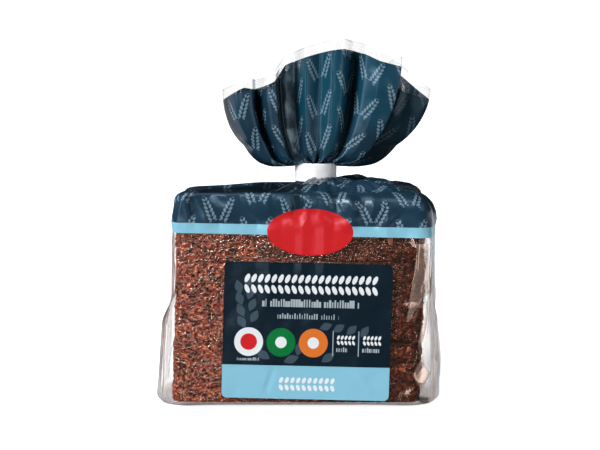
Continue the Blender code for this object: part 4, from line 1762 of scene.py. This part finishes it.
@dataclass
class BaseSeal:
    """The welded seam under the bag, folded flat, with the ribs of the welding bar."""

    shape: BagShape
    length: float = 0.092
    width: float = 0.0075
    thickness: float = 0.00016
    ribs: int = 9
    rib_height: float = 0.00007
    lift: float = 0.00005
    base_print: float = -3.0
    columns: int = 160
    rows: int = 54

    def build(self, material: bpy.types.Material) -> bpy.types.Object:
        """Returns the seam."""
        bm, share, row = grid_sheet(self.columns, self.rows)
        way = row / self.rows
        x = share * self.length
        y = (way - 0.5) * self.width + noise_at(np.column_stack([x, 0 * x, 0 * x]), 0.02, 51.0) * 0.0006
        rib = np.abs(np.sin(way * math.pi * self.ribs)) * self.rib_height
        z = self.lift + rib * smooth_step(0.0, 0.1, 0.5 - np.abs(way - 0.5))
        lay_out(bm, np.column_stack([x, y, z]), np.column_stack([x * MM, np.full(len(x), self.base_print)]))
        bmesh.ops.recalc_face_normals(bm, faces=bm.faces)
        piece = finished("base_seal", bm, material, 50.0)
        thicken(piece, "seam_thickness", self.thickness, Side.OUT)
        return piece


class Panel(Enum):
    """The softboxes that show in gloss alone: place, size and brightness."""

    SPARK = ((-0.44, -1.20, 0.60), (0.55, 0.55), 6.5)
    STRIP = ((-0.26, -1.35, 0.25), (0.10, 0.90), 4.0)
    TOP = ((-0.10, -0.55, 1.00), (0.90, 0.50), 2.6)
    RIGHT = ((0.80, -1.00, 0.20), (0.50, 0.90), 1.1)
    LEFT = ((-0.95, -0.65, 0.30), (0.50, 0.80), 3.0)


@dataclass
class Studio:
    """A pale floor, soft lights and the camera."""

    aim: tuple[float, float, float] = (0.0008, -0.036, 0.0743)
    light_aim: tuple[float, float, float] = (0.0, 0.0, 0.07)
    elevation: float = math.radians(5.0)
    distance: float = 0.714
    lens: float = 107.2
    floor_size: float = 5.0
    floor_white: float = 0.80
    floor_glow: float = 0.86
    sun_from: tuple[float, float, float] = (-0.62, -0.56, 0.60)
    sun_strength: float = 3.35
    sun_spread: float = math.radians(22.0)
    fill_from: tuple[float, float, float] = (0.80, -0.62, 0.50)
    fill_strength: float = 0.55
    fill_spread: float = math.radians(60.0)
    air_seen: float = 1.15
    air_light: float = 0.16
    air_gloss: float = 0.085
    far_gloss: float = 0.015
    backdrop_gloss: float = 0.80

    def floor(self) -> bpy.types.Object:
        """Returns the floor, which is a stage."""
        material = empty_material("pale_floor")
        page = Sheet(material.node_tree)
        seen = page.node("ShaderNodeLightPath").outputs["Is Camera Ray"]
        surface = {
            "Base Color": (self.floor_white,) * 3,
            "Roughness": 0.9,
            "Specular IOR Level": 0.1,
            "Emission Color": WHITE,
            "Emission Strength": page.multiply(seen, self.floor_glow),
        }
        page.finish(page.node("ShaderNodeBsdfPrincipled", surface))
        bm = bmesh.new()
        bmesh.ops.create_grid(bm, x_segments=1, y_segments=1, size=self.floor_size)
        piece = finished("floor", bm, material)
        piece.visible_glossy = False
        return piece

    def hang(self, light: bpy.types.Light, place: tuple[float, float, float]) -> bpy.types.Object:
        """Returns a lamp that holds the light at a place and looks at the middle of the bag."""
        lamp = bpy.data.objects.new(light.name, light)
        lamp.location = place
        towards = Vector(self.light_aim) - Vector(place)
        lamp.rotation_euler = towards.to_track_quat("-Z", "Y").to_euler()
        bpy.context.scene.collection.objects.link(lamp)
        return lamp

    def lights(self) -> None:
        """Hangs the soft lights."""
        for name, place, strength, spread in (
            ("broad_light", self.sun_from, self.sun_strength, self.sun_spread),
            ("fill_light", self.fill_from, self.fill_strength, self.fill_spread),
        ):
            sun = bpy.data.lights.new(name, "SUN")
            sun.energy, sun.angle = strength, spread
            self.hang(sun, place)
        for panel in Panel:
            place, size, brightness = panel.value
            light = bpy.data.lights.new(f"{panel.name.lower()}_softbox", "AREA")
            light.shape = "RECTANGLE"
            light.size, light.size_y = size
            light.energy = brightness * math.pi * size[0] * size[1]
            self.hang(light, place).visible_diffuse = False

    def air(self) -> None:
        """Sets the pale surroundings, which gloss shows darker than the camera does."""
        world = bpy.data.worlds.new("studio_air")
        bpy.context.scene.world = world
        world.use_nodes = True
        world.node_tree.nodes.clear()
        page = Sheet(world.node_tree)
        path = page.node("ShaderNodeLightPath")
        seen = page.multiply(path.outputs["Is Camera Ray"], self.air_seen - self.air_light)
        _, ahead, up = page.split(page.node("ShaderNodeTexCoord").outputs["Generated"])
        behind = page.multiply(page.ramp(ahead, -0.2, 0.3), page.ramp(up, -0.03, 0.02, 1.0, 0.0))
        near, far = self.air_gloss - self.air_light, self.far_gloss - self.air_light
        open_air = page.ramp(ahead, -0.1, 0.4, near, far)
        mirrored = page.math("MULTIPLY_ADD", behind, self.backdrop_gloss - self.far_gloss, open_air)
        glossy = page.multiply(path.outputs["Is Glossy Ray"], mirrored)
        strength = page.add(self.air_light, page.add(seen, glossy))
        air = page.node("ShaderNodeBackground", {"Color": WHITE, "Strength": strength})
        page.node("ShaderNodeOutputWorld", {"Surface": air.outputs[0]})

    def camera(self) -> None:
        """Sets up the camera at the photograph's angle."""
        scene = bpy.context.scene
        data = bpy.data.cameras.new("camera")
        data.sensor_width = 36.0
        data.lens = self.lens
        data.clip_start = 0.01
        data.clip_end = 20.0
        camera = bpy.data.objects.new("camera", data)
        aim = Vector(self.aim)
        away = Vector((0, -math.cos(self.elevation), math.sin(self.elevation)))
        camera.location = aim + self.distance * away
        camera.rotation_euler = (aim - camera.location).to_track_quat("-Z", "Y").to_euler()
        scene.collection.objects.link(camera)
        scene.camera = camera
        scene.view_settings.view_transform = "Standard"
        scene.cycles.transparent_max_bounces = 32

    def build(self) -> None:
        """Builds the studio."""
        self.floor()
        self.lights()
        self.air()
        self.camera()


def main() -> None:
    """Builds each sub-assembly, rides it on the bag's body and reports it."""
    logging.basicConfig(level=logging.INFO, format="%(message)s")
    Studio().build()
    shape = BagShape()
    inks = Inks()
    film = Film()
    ears = EarPattern().group()
    ruffle = Ruffle(shape)
    body_film = film.body(ears, inks, Label())
    pieces = BreadStack(shape).build()
    body = FilmBody(shape).build(body_film)
    flare = ruffle.build(film.ruffle(ears, inks, ruffle.margin))
    tape = NeckTape(shape).build(WhiteTape().material())
    seal = BaseSeal(shape).build(body_film)
    for piece in (*pieces, body, flare, tape, seal):
        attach(piece, BODY)
        LOG.info("%s: %d faces", piece.name, len(piece.data.polygons))
    for piece in (*pieces, body, flare, seal):
        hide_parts("bag")
    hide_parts("neck_tape")
    bpy.context.view_layer.update()


if __name__ == "__main__":
    main()
